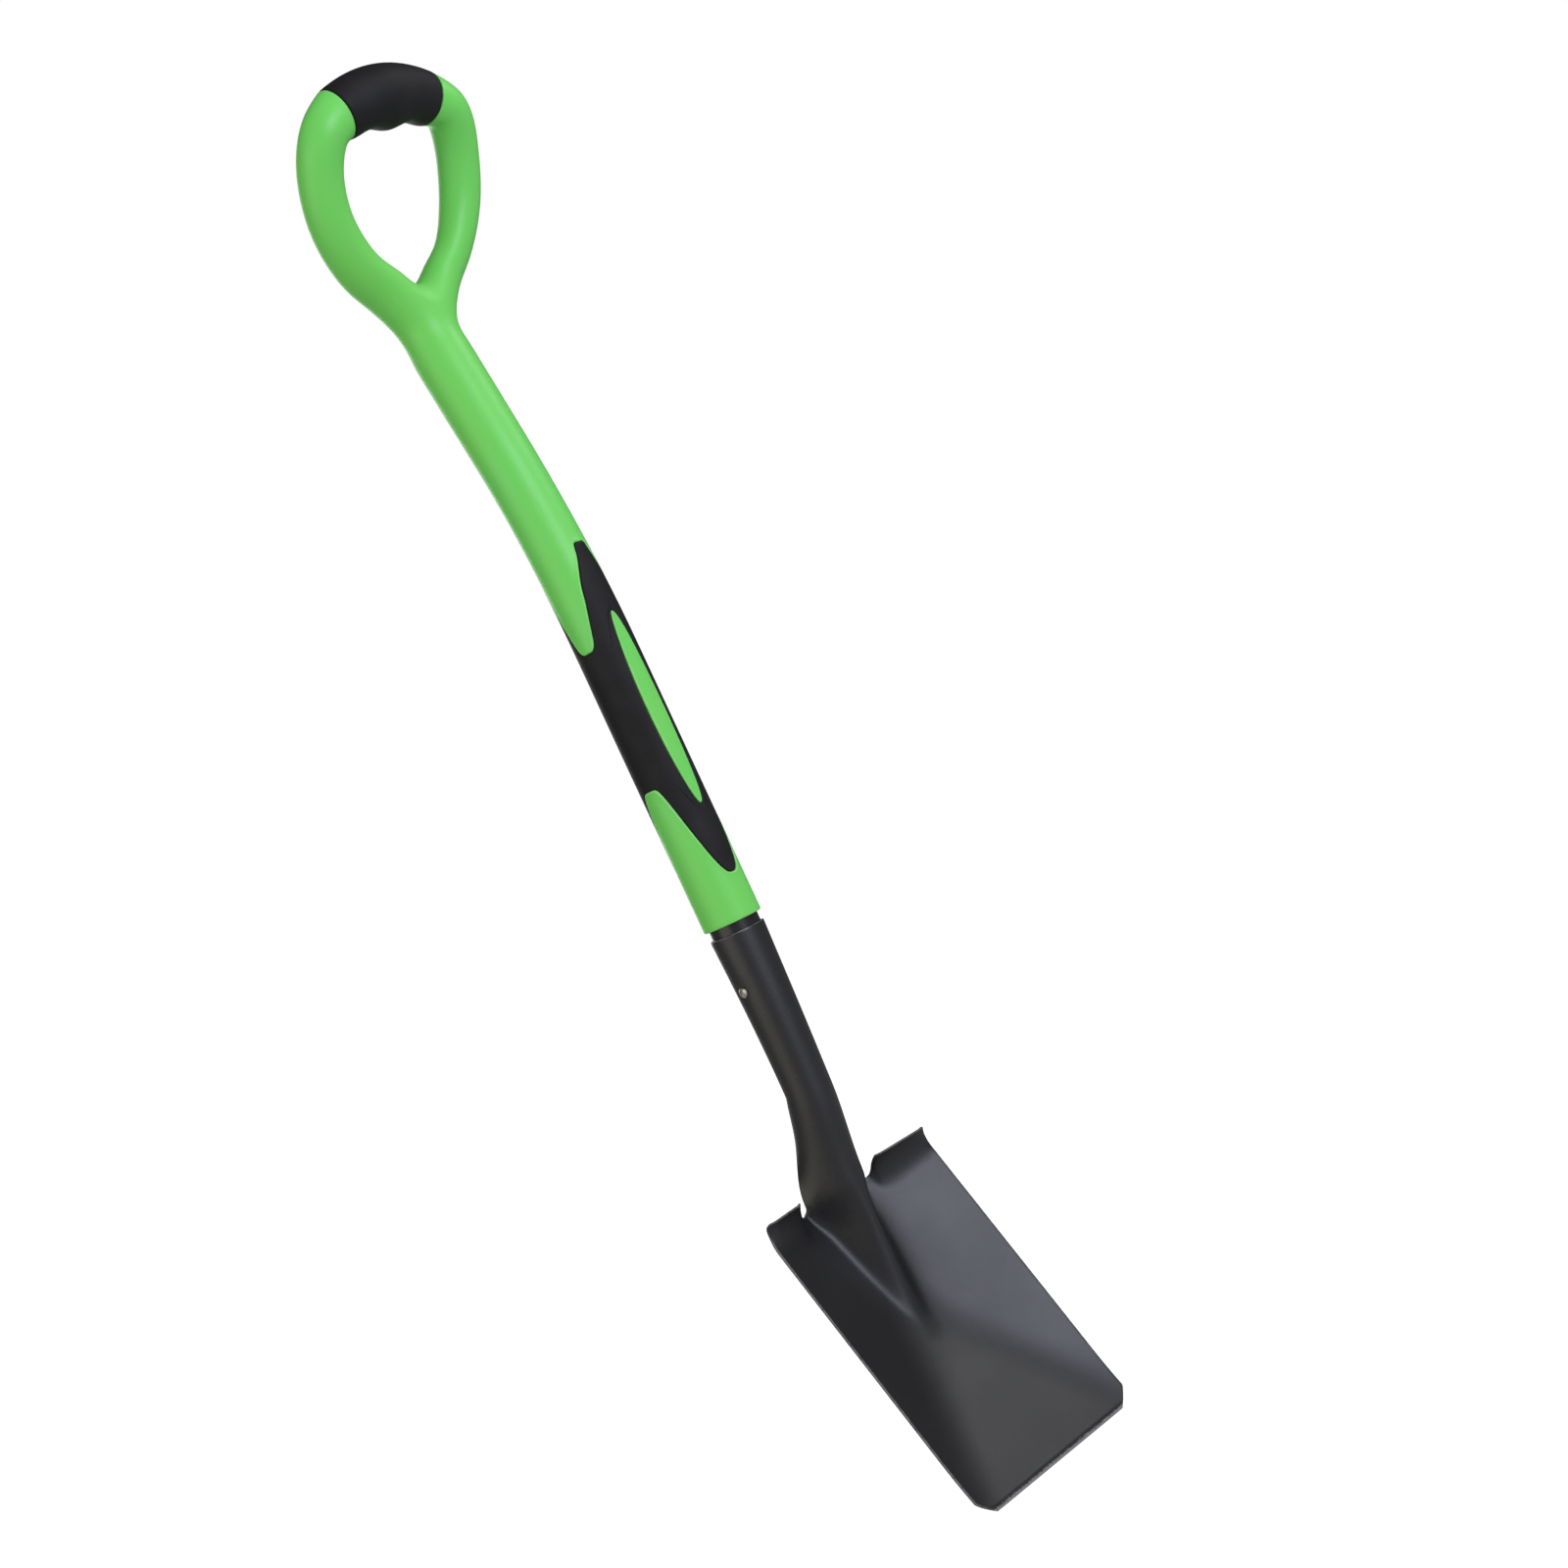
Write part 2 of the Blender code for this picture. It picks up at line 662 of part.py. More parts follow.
def open_loop(bm, sides):
    """The open edge of the handle, as vertices counted from the front towards +X."""
    centre, lean = spine(NECK_START)
    front = spine_front(lean)
    loop = {vert for edge in bm.edges if edge.is_boundary for vert in edge.verts}
    placed = []
    for vert in loop:
        offset = vert.co / MM - centre
        angle = math.atan2(offset.x, offset.dot(front)) % (2.0 * math.pi)
        slot = round(angle / (2.0 * math.pi) * sides) % sides
        placed.append((slot, vert))
    placed.sort(key=lambda item: item[0])
    return [item[1] for item in placed]


def sleeve_radius(distance):
    profile = (
        (0.0, SLEEVE_RADIUS),
        (STRAIGHT_LENGTH, SLEEVE_RADIUS),
        (SLEEVE_WAIST_AT, SLEEVE_RADIUS - SLEEVE_WAIST_NARROWING),
        (NECK_START, SLEEVE_TOP_RADIUS),
    )
    return smooth_curve(profile, distance)


def make_handle(parent):
    cage = make_handle_cage(parent)
    bpy.context.view_layer.update()
    depsgraph = bpy.context.evaluated_depsgraph_get()
    rounded = cage.evaluated_get(depsgraph).to_mesh()
    bm = bmesh.new()
    bm.from_mesh(rounded)
    cage.evaluated_get(depsgraph).to_mesh_clear()
    bpy.data.objects.remove(cage, do_unlink=True)

    neck_loop = open_loop(bm, 2 * RING_POINTS)
    bore_radius = TUBE_RADIUS + CLEARANCE
    outer = []
    stations = [SLEEVE_TOP] + shaft_stations(SLEEVE_TOP)[-2::-1]
    for station in stations:
        outer.append(spine_ring(station, sleeve_radius(station), TUBE_SIDES))
    outer.append(spine_ring(SLEEVE_END_ROUNDING, SLEEVE_RADIUS, TUBE_SIDES))
    outer.append(spine_ring(0.0, SLEEVE_RADIUS - SLEEVE_END_NARROWING, TUBE_SIDES))
    inner = [spine_ring(0.0, bore_radius, TUBE_SIDES)]
    for station in shaft_stations(bore_top()):
        inner.append(spine_ring(station, bore_radius, TUBE_SIDES))
    rings = loft(bm, outer + inner)
    join_to_double(bm, neck_loop, rings[0])
    bm.faces.new(rings[-1])
    return make_solid("handle_moulding", bm, parent, make_material("green_plastic"))


def make_crossbar_grip(parent):
    bm = bmesh.new()
    half = JUNCTION_HALF_SPACING - CROSSBAR_GRIP_END_GAP
    bore = CROSSBAR_CORE_RADIUS + 2.0 * CLEARANCE
    rings_outer = []
    rings_inner = []
    for index in range(CROSSBAR_GRIP_STATIONS):
        across = half * (1.0 - 2.0 * index / (CROSSBAR_GRIP_STATIONS - 1))
        frame = crossbar_frame(across)
        centre, outward, front = frame
        groove = 0.5 - 0.5 * math.cos(2.0 * math.pi * across / FINGER_GROOVE_SPACING)
        ring = []
        for side in range(CROSSBAR_GRIP_SIDES):
            angle = 2.0 * math.pi * side / CROSSBAR_GRIP_SIDES
            underside = max(-math.sin(angle), 0.0) ** 2
            crown = CROSSBAR_GRIP_CROWN * math.cos(math.pi / 2.0 * across / half)
            radius = CROSSBAR_GRIP_RADIUS + crown - FINGER_GROOVE_DEPTH * groove * underside
            ring.append(centre + radius * (math.sin(angle) * outward + math.cos(angle) * front))
        rings_outer.append(ring)
        rings_inner.append(sheet_ring(frame, bore, bore, CROSSBAR_GRIP_SIDES))
    rings = loft(bm, rings_outer + rings_inner[::-1])
    join_rings(bm, rings[-1], rings[0])
    return make_solid("crossbar_grip", bm, parent, make_material("soft_black"))


# Shaft grip: the band's edges, counted in degrees from the front or the back

def band_edge(angle, shape, point, bay):
    places = [(degrees, point + (bay - point) * share) for degrees, share in shape]
    return smooth_curve([(0.0, point)] + places + [(90.0, bay)], angle)


def from_front_or_back(angle):
    """Degrees from the nearer of front and back, for a full turn counted in degrees."""
    folded = angle % 180.0
    return min(folded, 180.0 - folded)


def spread_edges(turn, spread):
    """The band's lower and upper edge at an angle, moved outwards square to the edge by spread."""
    lows = []
    highs = []
    for index in range(-BAND_EDGE_SAMPLES, BAND_EDGE_SAMPLES + 1):
        sideways = spread * index / BAND_EDGE_SAMPLES
        reach = math.sqrt(spread ** 2 - sideways ** 2)
        beside = turn + math.degrees(sideways / SLEEVE_RADIUS)
        folded = from_front_or_back(beside - LOWER_EDGE_TURN)
        lows.append(band_edge(folded, LOWER_POINT_SHAPE, BAND_BOTTOM, BAND_BAY_BOTTOM) - reach)
        folded = from_front_or_back(beside - UPPER_EDGE_TURN)
        highs.append(band_edge(folded, UPPER_POINT_SHAPE, BAND_TOP, BAND_BAY_TOP) + reach)
    return min(lows), max(highs)


def make_band(inner_radius, outer_radius, spread):
    """The grip band as a closed shell; spread moves its edges outwards."""
    bm = bmesh.new()
    grids = []
    for radius in (outer_radius, inner_radius):
        columns = []
        for side in range(BAND_SIDES):
            turn = 360.0 * side / BAND_SIDES
            low, high = spread_edges(turn, spread)
            column = []
            for row in range(BAND_ROWS + 1):
                station = low + (high - low) * row / BAND_ROWS
                centre, lean = spine(station)
                front = spine_front(lean)
                column.append(centre + radius * round_the_shaft(math.radians(turn), front))
            columns.append(add_ring(bm, column))
        grids.append(columns)
    outer, inner = grids
    for side in range(BAND_SIDES):
        following = (side + 1) % BAND_SIDES
        join_rows(bm, outer[side], outer[following])
        join_rows(bm, inner[side], inner[following])
        bm.faces.new((outer[side][0], outer[following][0], inner[following][0], inner[side][0]))
        bm.faces.new((outer[side][-1], outer[following][-1], inner[following][-1], inner[side][-1]))
    return bm


def make_leaf(name, side, shrink, parent):
    """A leaf-shaped prism that stands out of the shaft at the front (-1) or the back (+1)."""
    bm = bmesh.new()
    turn = math.radians(LEAF_TURN)
    outward = Vector((-side * math.sin(turn), side * math.cos(turn), 0.0))
    sideways = Vector((math.cos(turn), math.sin(turn), 0.0))
    sections = []
    for reach in (TUBE_RADIUS / 2.0, SLEEVE_RADIUS + 2.0 * CUTTER_REACH):
        section = []
        for index in range(LEAF_SIDES):
            angle = 2.0 * math.pi * (index + 0.5) / LEAF_SIDES
            across = (LEAF_WIDTH / 2.0 - shrink) * math.cos(angle)
            station = LEAF_MIDDLE + (LEAF_LENGTH / 2.0 - shrink) * math.sin(angle)
            section.append(outward * reach + sideways * across + Vector((0.0, 0.0, station)))
        sections.append(section)
    rings = loft(bm, sections)
    bm.faces.new(rings[0])
    bm.faces.new(rings[-1])
    return make_cutter(name, bm, parent)


def make_shaft_grip(handle, parent):
    floor_radius = SLEEVE_RADIUS - BAND_RECESS
    grip = make_solid(
        "shaft_grip",
        make_band(floor_radius + CLEARANCE, SLEEVE_RADIUS + BAND_PROUD, 0.0),
        parent,
        make_material("soft_black"),
    )
    recess_shape = make_band(floor_radius, SLEEVE_RADIUS + CUTTER_REACH, CLEARANCE)
    recess = make_cutter("band_recess", recess_shape, parent)
    for side, word in ((-1, "front"), (1, "back")):
        cut(grip, make_leaf(word + "_leaf_window", side, 0.0, parent))
        cut(recess, make_leaf(word + "_leaf_island", side, CLEARANCE, parent))
    cut(handle, recess)
    return grip


# Blade: a single sheet, described in its own directions down the blade and back from its edges

def blade_point(across, down, back):
    lift = math.radians(BLADE_LIFT)
    top = Vector((0.0, BLADE_TOP_BACK, -BLADE_TOP_DROP))
    down_way = Vector((0.0, -math.sin(lift), -math.cos(lift)))
    back_way = Vector((0.0, math.cos(lift), -math.sin(lift)))
    return top + Vector((across, 0.0, 0.0)) + down * down_way + back * back_way


def half_width(down):
    cut_start = BLADE_LENGTH - CORNER_CUT
    share = min(max(down / cut_start, 0.0), 1.0)
    width = TOP_HALF_WIDTH + (BOTTOM_HALF_WIDTH - TOP_HALF_WIDTH) * share
    if down > cut_start:
        width -= CORNER_CUT * ((down - cut_start) / CORNER_CUT) ** CORNER_ROUNDING_POWER
    return width


def soft_abs(value):
    return math.sqrt(value * value + DISH_ROUNDING ** 2) - DISH_ROUNDING


def dish(across, down):
    """How far the sheet lies behind the plane of its side edges: two wings and a sloped foot."""
    wing = DISH_DEPTH * (1.0 - soft_abs(across) / soft_abs(TOP_HALF_WIDTH))
    foot = DISH_DEPTH * (BLADE_LENGTH - down) / (BLADE_LENGTH - RIDGE_TIP_AT)
    return smooth_min(wing, foot, CREASE_BLEND)


def ridge(across, down):
    """How far the ridge stands forward of the dish: a round crown that spreads into a long foot."""
    share = (down + NOTCH_TOP) / (RIDGE_TIP_AT + NOTCH_TOP)
    left = 1.0 - share
    crest = RIDGE_HEIGHT * left * abs(left) ** (RIDGE_FALL_POWER - 1.0)
    height = -smooth_min(0.0, -crest, RIDGE_TIP_BLEND)
    offset = min(abs(across) / smooth_curve(RIDGE_WIDTHS, share), 1.0)
    crown = (1.0 - offset ** RIDGE_SIDE_POWER) ** smooth_curve(RIDGE_FINENESS, share)
    middle = 1.0 - RIDGE_TIP_BLEND / RIDGE_FOOT_WIDTH
    foot = max(1.0 - math.hypot(across, RIDGE_TIP_BLEND) / RIDGE_FOOT_WIDTH, 0.0) / middle
    spreading = RIDGE_FOOT_SHARE * smooth_step(0.0, RIDGE_FOOT_FULL_AT, share)
    return height * (crown + (foot ** 3 - crown) * spreading)


def sheet_depth(across, down):
    return dish(across, down) - ridge(across, down)


def even_across(limit, down, count):
    """Distances across the sheet, from the middle to limit, evenly spaced over its surface."""
    reached = [0.0]
    for index in range(SURFACE_SAMPLES):
        near = limit * index / SURFACE_SAMPLES
        far = limit * (index + 1) / SURFACE_SAMPLES
        rise = sheet_depth(far, down) - sheet_depth(near, down)
        reached.append(reached[-1] + math.hypot(far - near, rise))
    places = []
    index = 0
    for step in range(count + 1):
        target = reached[-1] * step / count
        while index < SURFACE_SAMPLES - 1 and reached[index + 1] < target:
            index += 1
        share = (target - reached[index]) / (reached[index + 1] - reached[index])
        places.append(limit * (index + share) / SURFACE_SAMPLES)
    return places


def fold_line(across):
    """How far down the sheet a tread starts to curl; the fold rounds off upwards at both ends."""
    inner = rounded_drop(max(abs(across) - NOTCH_OUTER_X, 0.0), FOLD_INNER_ROUNDING)
    outer = rounded_drop(max(TOP_HALF_WIDTH - abs(across), 0.0), FOLD_OUTER_ROUNDING)
    return FOLD_BELOW_TOP - inner - outer


def wing_point(across, down):
    """A point of the sheet; above the fold, the treads curl forward and the ridge doesn't."""
    fold = fold_line(across)
    if down >= fold:
        return blade_point(across, down, sheet_depth(across, down))
    angle = (fold - down) / TREAD_CURL_RADIUS
    curled_down = fold - TREAD_CURL_RADIUS * math.sin(angle)
    forward = TREAD_CURL_RADIUS * (1.0 - math.cos(angle))
    curl_starts = NOTCH_INNER_X - CURL_STARTS_INSIDE_NOTCH
    curl_full = NOTCH_OUTER_X + CURL_FULL_OUTSIDE_NOTCH
    curled = smooth_step(curl_starts, curl_full, abs(across))
    height = curled_down * curled + down * (1.0 - curled)
    return blade_point(across, height, sheet_depth(across, height) - forward * curled)


def sheet_rows():
    """How far down the sheet its rows lie, from the notch's floor to the cutting edge."""
    corner = BLADE_LENGTH - CORNER_CUT
    stretches = (
        (-NOTCH_BOTTOM, FOLD_BELOW_TOP, NOTCH_ROWS),
        (FOLD_BELOW_TOP, RIDGE_TIP_AT, RIDGE_ROWS),
        (RIDGE_TIP_AT, corner, FOOT_ROWS),
        (corner, BLADE_LENGTH, CORNER_ROWS),
    )
    rows = []
    for start, end, steps in stretches:
        rows += [start + (end - start) * step / steps for step in range(steps)]
    return rows + [BLADE_LENGTH]


def strip_row(limit, down, sign):
    return [wing_point(sign * across, down) for across in even_across(limit, down, STRIP_COLUMNS)]


def socket_half(drop, sign):
    """Half of the socket's outline, from the front round to the seam at the back."""
    radius = socket_radius(drop)
    seam = math.asin(SEAM_GAP / 2.0 / radius)
    centre = Vector((0.0, socket_axis_back(drop), -drop))
    outline = []
    for column in range(STRIP_COLUMNS + 1):
        angle = (math.pi - seam) * column / STRIP_COLUMNS
        outline.append(centre + Vector((sign * radius * math.sin(angle), -radius * math.cos(angle), 0.0)))
    return outline


def flare_rows(sign):
    """Rows that open the socket into the top of the ridge, smooth at both ends."""
    start = socket_half(SOCKET_CLOSED_TO, sign)
    above = socket_half(SOCKET_CLOSED_TO - FLARE_LEAD, sign)
    end = strip_row(NOTCH_INNER_X, -NOTCH_TOP, sign)
    below = strip_row(NOTCH_INNER_X, -NOTCH_TOP + FLARE_LEAD, sign)
    rows = []
    for index in range(1, FLARE_STEPS + 1):
        share = index / FLARE_STEPS
        swell = FLARE_EDGE_SPREAD * SWELL_TO_ONE * share * (1.0 - share) ** 4
        way = Vector((sign * FLARE_EDGE_WAY.x, FLARE_EDGE_WAY.y, 0.0))
        row = []
        for column, (first, before, last, after) in enumerate(zip(start, above, end, below)):
            span = (last - first).length
            leaving = (first - before).normalized() * span
            arriving = (after - last).normalized() * span
            row.append(
                first * (1 + 2 * share) * (1 - share) ** 2
                + last * share ** 2 * (3 - 2 * share)
                + leaving * share * (1 - share) ** 2
                - arriving * share ** 2 * (1 - share)
                + way * (swell * (column / STRIP_COLUMNS) ** 3)
            )
        rows.append(row)
    return rows


def tread_rows(sign):
    """Rows of one tread above the notch's floor, from its lip down; the lip falls outwards."""
    shared_x = (NOTCH_INNER_X + NOTCH_OUTER_X) / 2.0
    height = TREAD_HEIGHT - NOTCH_BOTTOM
    rows = []
    for step in range(TREAD_STEPS, 0, -1):
        share = step / TREAD_STEPS
        held = max(1.0 - height * share / NOTCH_ROUNDING, 0.0)
        opened = math.sqrt(1.0 - held ** 2)
        inner = shared_x + (NOTCH_OUTER_X - shared_x) * opened + TREAD_INNER_CUT * share ** 2
        outer = TOP_HALF_WIDTH - TREAD_CORNER_CUT * share ** 6
        row = []
        for column in range(WING_COLUMNS + 1):
            across = inner + (outer - inner) * column / WING_COLUMNS
            upward = NOTCH_BOTTOM + (height - TREAD_FALL * column / WING_COLUMNS) * share
            row.append(wing_point(sign * across, -upward))
        rows.append(row)
    return rows


def make_blade(rivet_hole, parent):
    bm = bmesh.new()
    shared_x = (NOTCH_INNER_X + NOTCH_OUTER_X) / 2.0
    centre_line = []
    for sign in (1, -1):
        rows = []
        for step in range(SOCKET_STEPS + 1):
            drop = SOCKET_RIM + (SOCKET_CLOSED_TO - SOCKET_RIM) * step / SOCKET_STEPS
            rows.append(socket_half(drop, sign))
        rows += flare_rows(sign)
        for down in sheet_rows():
            row = strip_row(shared_x, down, sign)
            edge = half_width(down)
            for column in range(1, WING_COLUMNS + 1):
                across = shared_x + (edge - shared_x) * column / WING_COLUMNS
                row.append(wing_point(sign * across, down))
            rows.append(row)
        verts = []
        for index, row in enumerate(rows):
            if sign == 1:
                made = add_ring(bm, row)
                centre_line.append(made[0])
            else:
                made = [centre_line[index]] + add_ring(bm, row[1:])
            verts.append(made)
        for upper, lower in zip(verts, verts[1:]):
            width = min(len(upper), len(lower))
            join_rows(bm, upper[:width], lower[:width])
        tread = [add_ring(bm, row) for row in tread_rows(sign)]
        notch_floor = verts[SOCKET_STEPS + 1 + FLARE_STEPS]
        for upper, lower in zip(tread, tread[1:] + [notch_floor[STRIP_COLUMNS:]]):
            join_rows(bm, upper, lower)
    bmesh.ops.recalc_face_normals(bm, faces=bm.faces)
    front_face = min(bm.faces, key=lambda face: face.calc_center_median().y)
    if front_face.normal.y > 0.0:
        bmesh.ops.reverse_faces(bm, faces=bm.faces)
    blade = make_object("blade", bm, parent, make_material("blade_coating"))
    thickness = blade.modifiers.new("sheet", "SOLIDIFY")
    thickness.thickness = SHEET * MM
    thickness.offset = -1.0
    thickness.use_even_offset = True
    cut(blade, rivet_hole)
    return blade


def hang_point():
    """The point under the middle of the crossbar grip."""
    centre, lean = spine(CROSSBAR_AT)
    up_the_sheet = Vector((0.0, math.sin(lean), math.cos(lean)))
    return centre - (CROSSBAR_GRIP_RADIUS + CROSSBAR_GRIP_CROWN) * up_the_sheet


def main():
    for old in list(bpy.data.objects):
        bpy.data.objects.remove(old, do_unlink=True)
    frame = bpy.data.objects.new("spade_frame", None)
    bpy.context.scene.collection.objects.link(frame)
    frame.location = -hang_point() * MM

    rivet_hole = make_rivet_hole(frame)
    make_blade(rivet_hole, frame)
    tube = make_tube(frame)
    cut(tube, rivet_hole)
    lower_plug = make_lower_plug(frame)
    cut(lower_plug, rivet_hole)
    make_upper_plug(frame)
    make_rivet(frame)
    handle = make_handle(frame)
    make_crossbar_grip(frame)
    make_shaft_grip(handle, frame)


main()
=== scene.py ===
"""Looks of a garden border spade with a D-handle.

Shapes are worked out in millimetres, along a spine that starts at the lower end of the green
sleeve and runs up the shaft, and are put in place in metres when a piece is finished. -Y is the
front, the side that the blade's hollow faces.
"""
import math

import bmesh
import bpy
from mathutils import Matrix, Vector


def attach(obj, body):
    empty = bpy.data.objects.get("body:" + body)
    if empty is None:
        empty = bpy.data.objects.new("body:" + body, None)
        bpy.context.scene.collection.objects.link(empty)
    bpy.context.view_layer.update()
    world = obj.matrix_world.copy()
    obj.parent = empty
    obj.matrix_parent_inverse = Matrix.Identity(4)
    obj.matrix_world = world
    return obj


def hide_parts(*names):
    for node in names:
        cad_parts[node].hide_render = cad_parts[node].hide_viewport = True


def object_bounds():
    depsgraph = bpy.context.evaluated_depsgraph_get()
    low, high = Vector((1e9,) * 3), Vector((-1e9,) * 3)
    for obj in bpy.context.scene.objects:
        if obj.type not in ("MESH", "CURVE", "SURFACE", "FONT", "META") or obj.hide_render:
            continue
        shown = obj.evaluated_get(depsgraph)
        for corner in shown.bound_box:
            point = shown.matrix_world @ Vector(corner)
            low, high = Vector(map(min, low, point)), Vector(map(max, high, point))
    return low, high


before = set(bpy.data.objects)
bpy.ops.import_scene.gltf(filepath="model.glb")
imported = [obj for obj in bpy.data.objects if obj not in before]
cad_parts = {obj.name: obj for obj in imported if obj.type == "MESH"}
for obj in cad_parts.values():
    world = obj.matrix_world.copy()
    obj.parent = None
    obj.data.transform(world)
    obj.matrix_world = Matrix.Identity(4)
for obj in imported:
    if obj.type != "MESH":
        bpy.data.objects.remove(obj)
cad_low, cad_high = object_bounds()

MM = 0.001
MERGE = 0.002

# Fits
CLEARANCE = 0.3
SOCKET_FIT = 0.35

# Shaft: the spine's straight and curved runs
STRAIGHT_LENGTH = 180.0
SHAFT_BEND_RADIUS = 850.0
SHAFT_BEND_ANGLE = 10.0
UPPER_STRAIGHT_LENGTH = 64.0
NECK_BEND_RADIUS = 95.0
NECK_BEND_ANGLE = 27.0
HANDLE_CURVE_RADIUS = 490.0
HANDLE_CURVE_LENGTH = 150.0
SHAFT_BEND_LENGTH = SHAFT_BEND_RADIUS * math.radians(SHAFT_BEND_ANGLE)
NECK_START = STRAIGHT_LENGTH + SHAFT_BEND_LENGTH + UPPER_STRAIGHT_LENGTH

# Steel tube
TUBE_RADIUS = 16.0
TUBE_WALL = 1.2
TUBE_REACH_IN_SOCKET = 96.0
UPPER_PLUG_FLANGE = 3.0
UPPER_PLUG_DEPTH = 2.0
TUBE_TOP = NECK_START - CLEARANCE - UPPER_PLUG_FLANGE - UPPER_PLUG_DEPTH
BORE_TOP = TUBE_TOP + UPPER_PLUG_FLANGE + 2.0 * CLEARANCE
TUBE_SIDES = 96
TUBE_STEP = 6.0

# Green sleeve
SLEEVE_RADIUS = TUBE_RADIUS + 2.95
SLEEVE_WAIST_NARROWING = 0.55
SLEEVE_WAIST_AT = STRAIGHT_LENGTH + 105.0
SLEEVE_TOP_RADIUS = SLEEVE_RADIUS - 0.25
SLEEVE_TOP = NECK_START - 8.0
SLEEVE_END_ROUNDING = 1.1
SLEEVE_END_STEPS = (1.0, 0.7, 0.45, 0.25, 0.1, 0.0)
SLEEVE_END_AREA = 2.5 * SLEEVE_END_ROUNDING
SLEEVE_COLUMNS = 128
UPPER_SLEEVE_ROWS = 34
LOWER_SLEEVE_ROWS = 12
RECESS_FLOOR_ROWS = 6
BORE_STEP = 24.0

# D-handle. Neck rings: height above the neck's start, widening, deepening. Arm rings: share of the
# half width, share of the climb, forward bow where there is one, skew, widening, deepening.
NECK_SHAPE = ((0.0, 1.0, 1.0), (12.0, 0.95, 0.95), (24.0, 1.15, 0.95))
ARM_BELOW_WIDEST = (
    (0.41, 0.07, 1.0, 0.0, 1.0),
    (0.655, 0.25, 1.0, -1.0, 0.0),
    (0.85, 0.50, 0.5, -0.4, 0.0),
    (0.97, 0.78, 0.0, 0.0, 0.0),
)
ARM_ABOVE_WIDEST = (
    (1.0, 0.15, 0.3, 1.0, 0.0, 0.0),
    (0.955, 0.56, 0.8, 0.0, 0.9, 0.6),
    (0.85, 0.84, 1.0, 0.0, 1.4, 1.2),
)
ARM_WIDTH = 27.4
ARM_DEPTH = 27.2
ARM_SKEW = 0.3
ARM_SKEW_BELOW = 1.5
ARM_BOW = 3.4
LOOP_HALF_WIDTH = 54.2
CROTCH_AT = NECK_START + 41.6
CROTCH_HALF_DEPTH = 8.4
CROTCH_BACK_DROP = 3.0
LOOP_WIDEST_AT = NECK_START + 113.6
JUNCTION_AT = NECK_START + 154.3
JUNCTION_HALF_SPACING = 35.4
JUNCTION_RADIUS = 16.4
CROSSBAR_ARCH = 5.8
CROSSBAR_AT = JUNCTION_AT + CROSSBAR_ARCH
CROSSBAR_CORE_RADIUS = 12.0
CROSSBAR_RINGS = 7
CROSSBAR_SLOPE_STEP = 0.5
ARM_SETS_OFF_BELOW_CROTCH = 24.0
RING_POINTS = 8
CIRCLE_PULL = 0.9024
HANDLE_LEVELS = 3
SHOULDER_ROUNDING = 0.8
SHOULDER_SEGMENTS = 4
SHOULDER_LEAST_ANGLE = 40.0
SHOULDER_REACH = 6.0
# How strongly the rounded shoulder edges by the crossbar grip are lightened as a painted highlight
SHOULDER_PAINTED_HIGHLIGHT = 0.7

# Soft crossbar grip
CROSSBAR_GRIP_RADIUS = 16.6
CROSSBAR_GRIP_CROWN = 3.2
FINGER_GROOVE_DEPTH = 2.6
FINGER_GROOVE_SPACING = 34.0
CROSSBAR_GRIP_END_GAP = 0.36
CROSSBAR_GRIP_ROUNDING = 1.3
CROSSBAR_GRIP_END_STEPS = (0.0, 0.04, 0.14, 0.32, 0.6)
CROSSBAR_GRIP_WALL = 3.6
CROSSBAR_GRIP_SIDES = 96
CROSSBAR_GRIP_STEP = 1.4

# Soft shaft grip: its two long points, its bays and its leaf windows. The points' shapes go from
# degrees beside the point to the share of the way from the point to the bay.
UPPER_POINT_SHAPE = (
    (13.5, 0.0),
    (16.5, 0.03),
    (19.5, 0.10),
    (41.0, 0.394),
    (47.0, 0.535),
    (56.0, 0.709),
    (63.0, 0.85),
    (68.0, 0.937),
    (77.0, 0.992),
)
LOWER_POINT_SHAPE = ((14.0, 0.03), (27.0, 0.18), (39.0, 0.40), (54.0, 0.71), (63.0, 0.88), (71.0, 0.98))
UPPER_EDGE_TURN = 11.0
LOWER_EDGE_TURN = 5.0
LEAF_TURN = 4.0
BAND_TOP = 247.0
BAND_BOTTOM = 29.0
BAND_BAY_TOP = 183.5
BAND_BAY_BOTTOM = 93.5
BAND_RECESS = 1.2
BAND_PROUD = 0.05
BAND_EDGE_SAMPLES = 8
LEAF_MIDDLE = 138.0
LEAF_HALF_LENGTH = 64.5
LEAF_HALF_WIDTH = 7.7
LEAF_SIDES = 112
LEAF_ROWS = 44
LEAF_SPREAD_ANGLE = 34.0
GRIP_EDGE_ROUNDING = 0.8
GRIP_FLAT_FROM = 3.5
GRIP_ROW_STEP = 3.6
GRIP_COLUMN_STEP = 2.2
GROOVE = 0.65
LIP_ROUNDING = 0.7
LIP_BEAD = 0.22
LIP_BEAD_WIDTH = 2.6
# Distances from an edge at which rows of points lie
EDGE_STEPS = (0.0, 0.08, 0.22, 0.42, 0.7, 1.05, 1.5, 2.1, 2.8)

# Pressed steel blade. The ridge's widths and fineness go by the share of its length from the top.
SHEET = 1.5
SOCKET_RIM = 6.0
SOCKET_CLOSED_TO = 112.0
SOCKET_LOWER_RADIUS = 15.0
SOCKET_TAPER_POWER = 1.35
SOCKET_SET_BACK = 1.6
SOCKET_SET_BACK_FROM = 40.0
SEAM_GAP = 1.2
BLADE_TOP_DROP = 188.0
BLADE_TOP_BACK = 1.6
BLADE_LIFT = 20.8
BLADE_LENGTH = 193.2
TOP_HALF_WIDTH = 74.4
BOTTOM_HALF_WIDTH = 73.6
CORNER_CUT = 11.0
CORNER_ROUNDING_POWER = 1.25
DISH_DEPTH = 24.8
DISH_ROUNDING = 18.0
CREASE_BLEND = 8.0
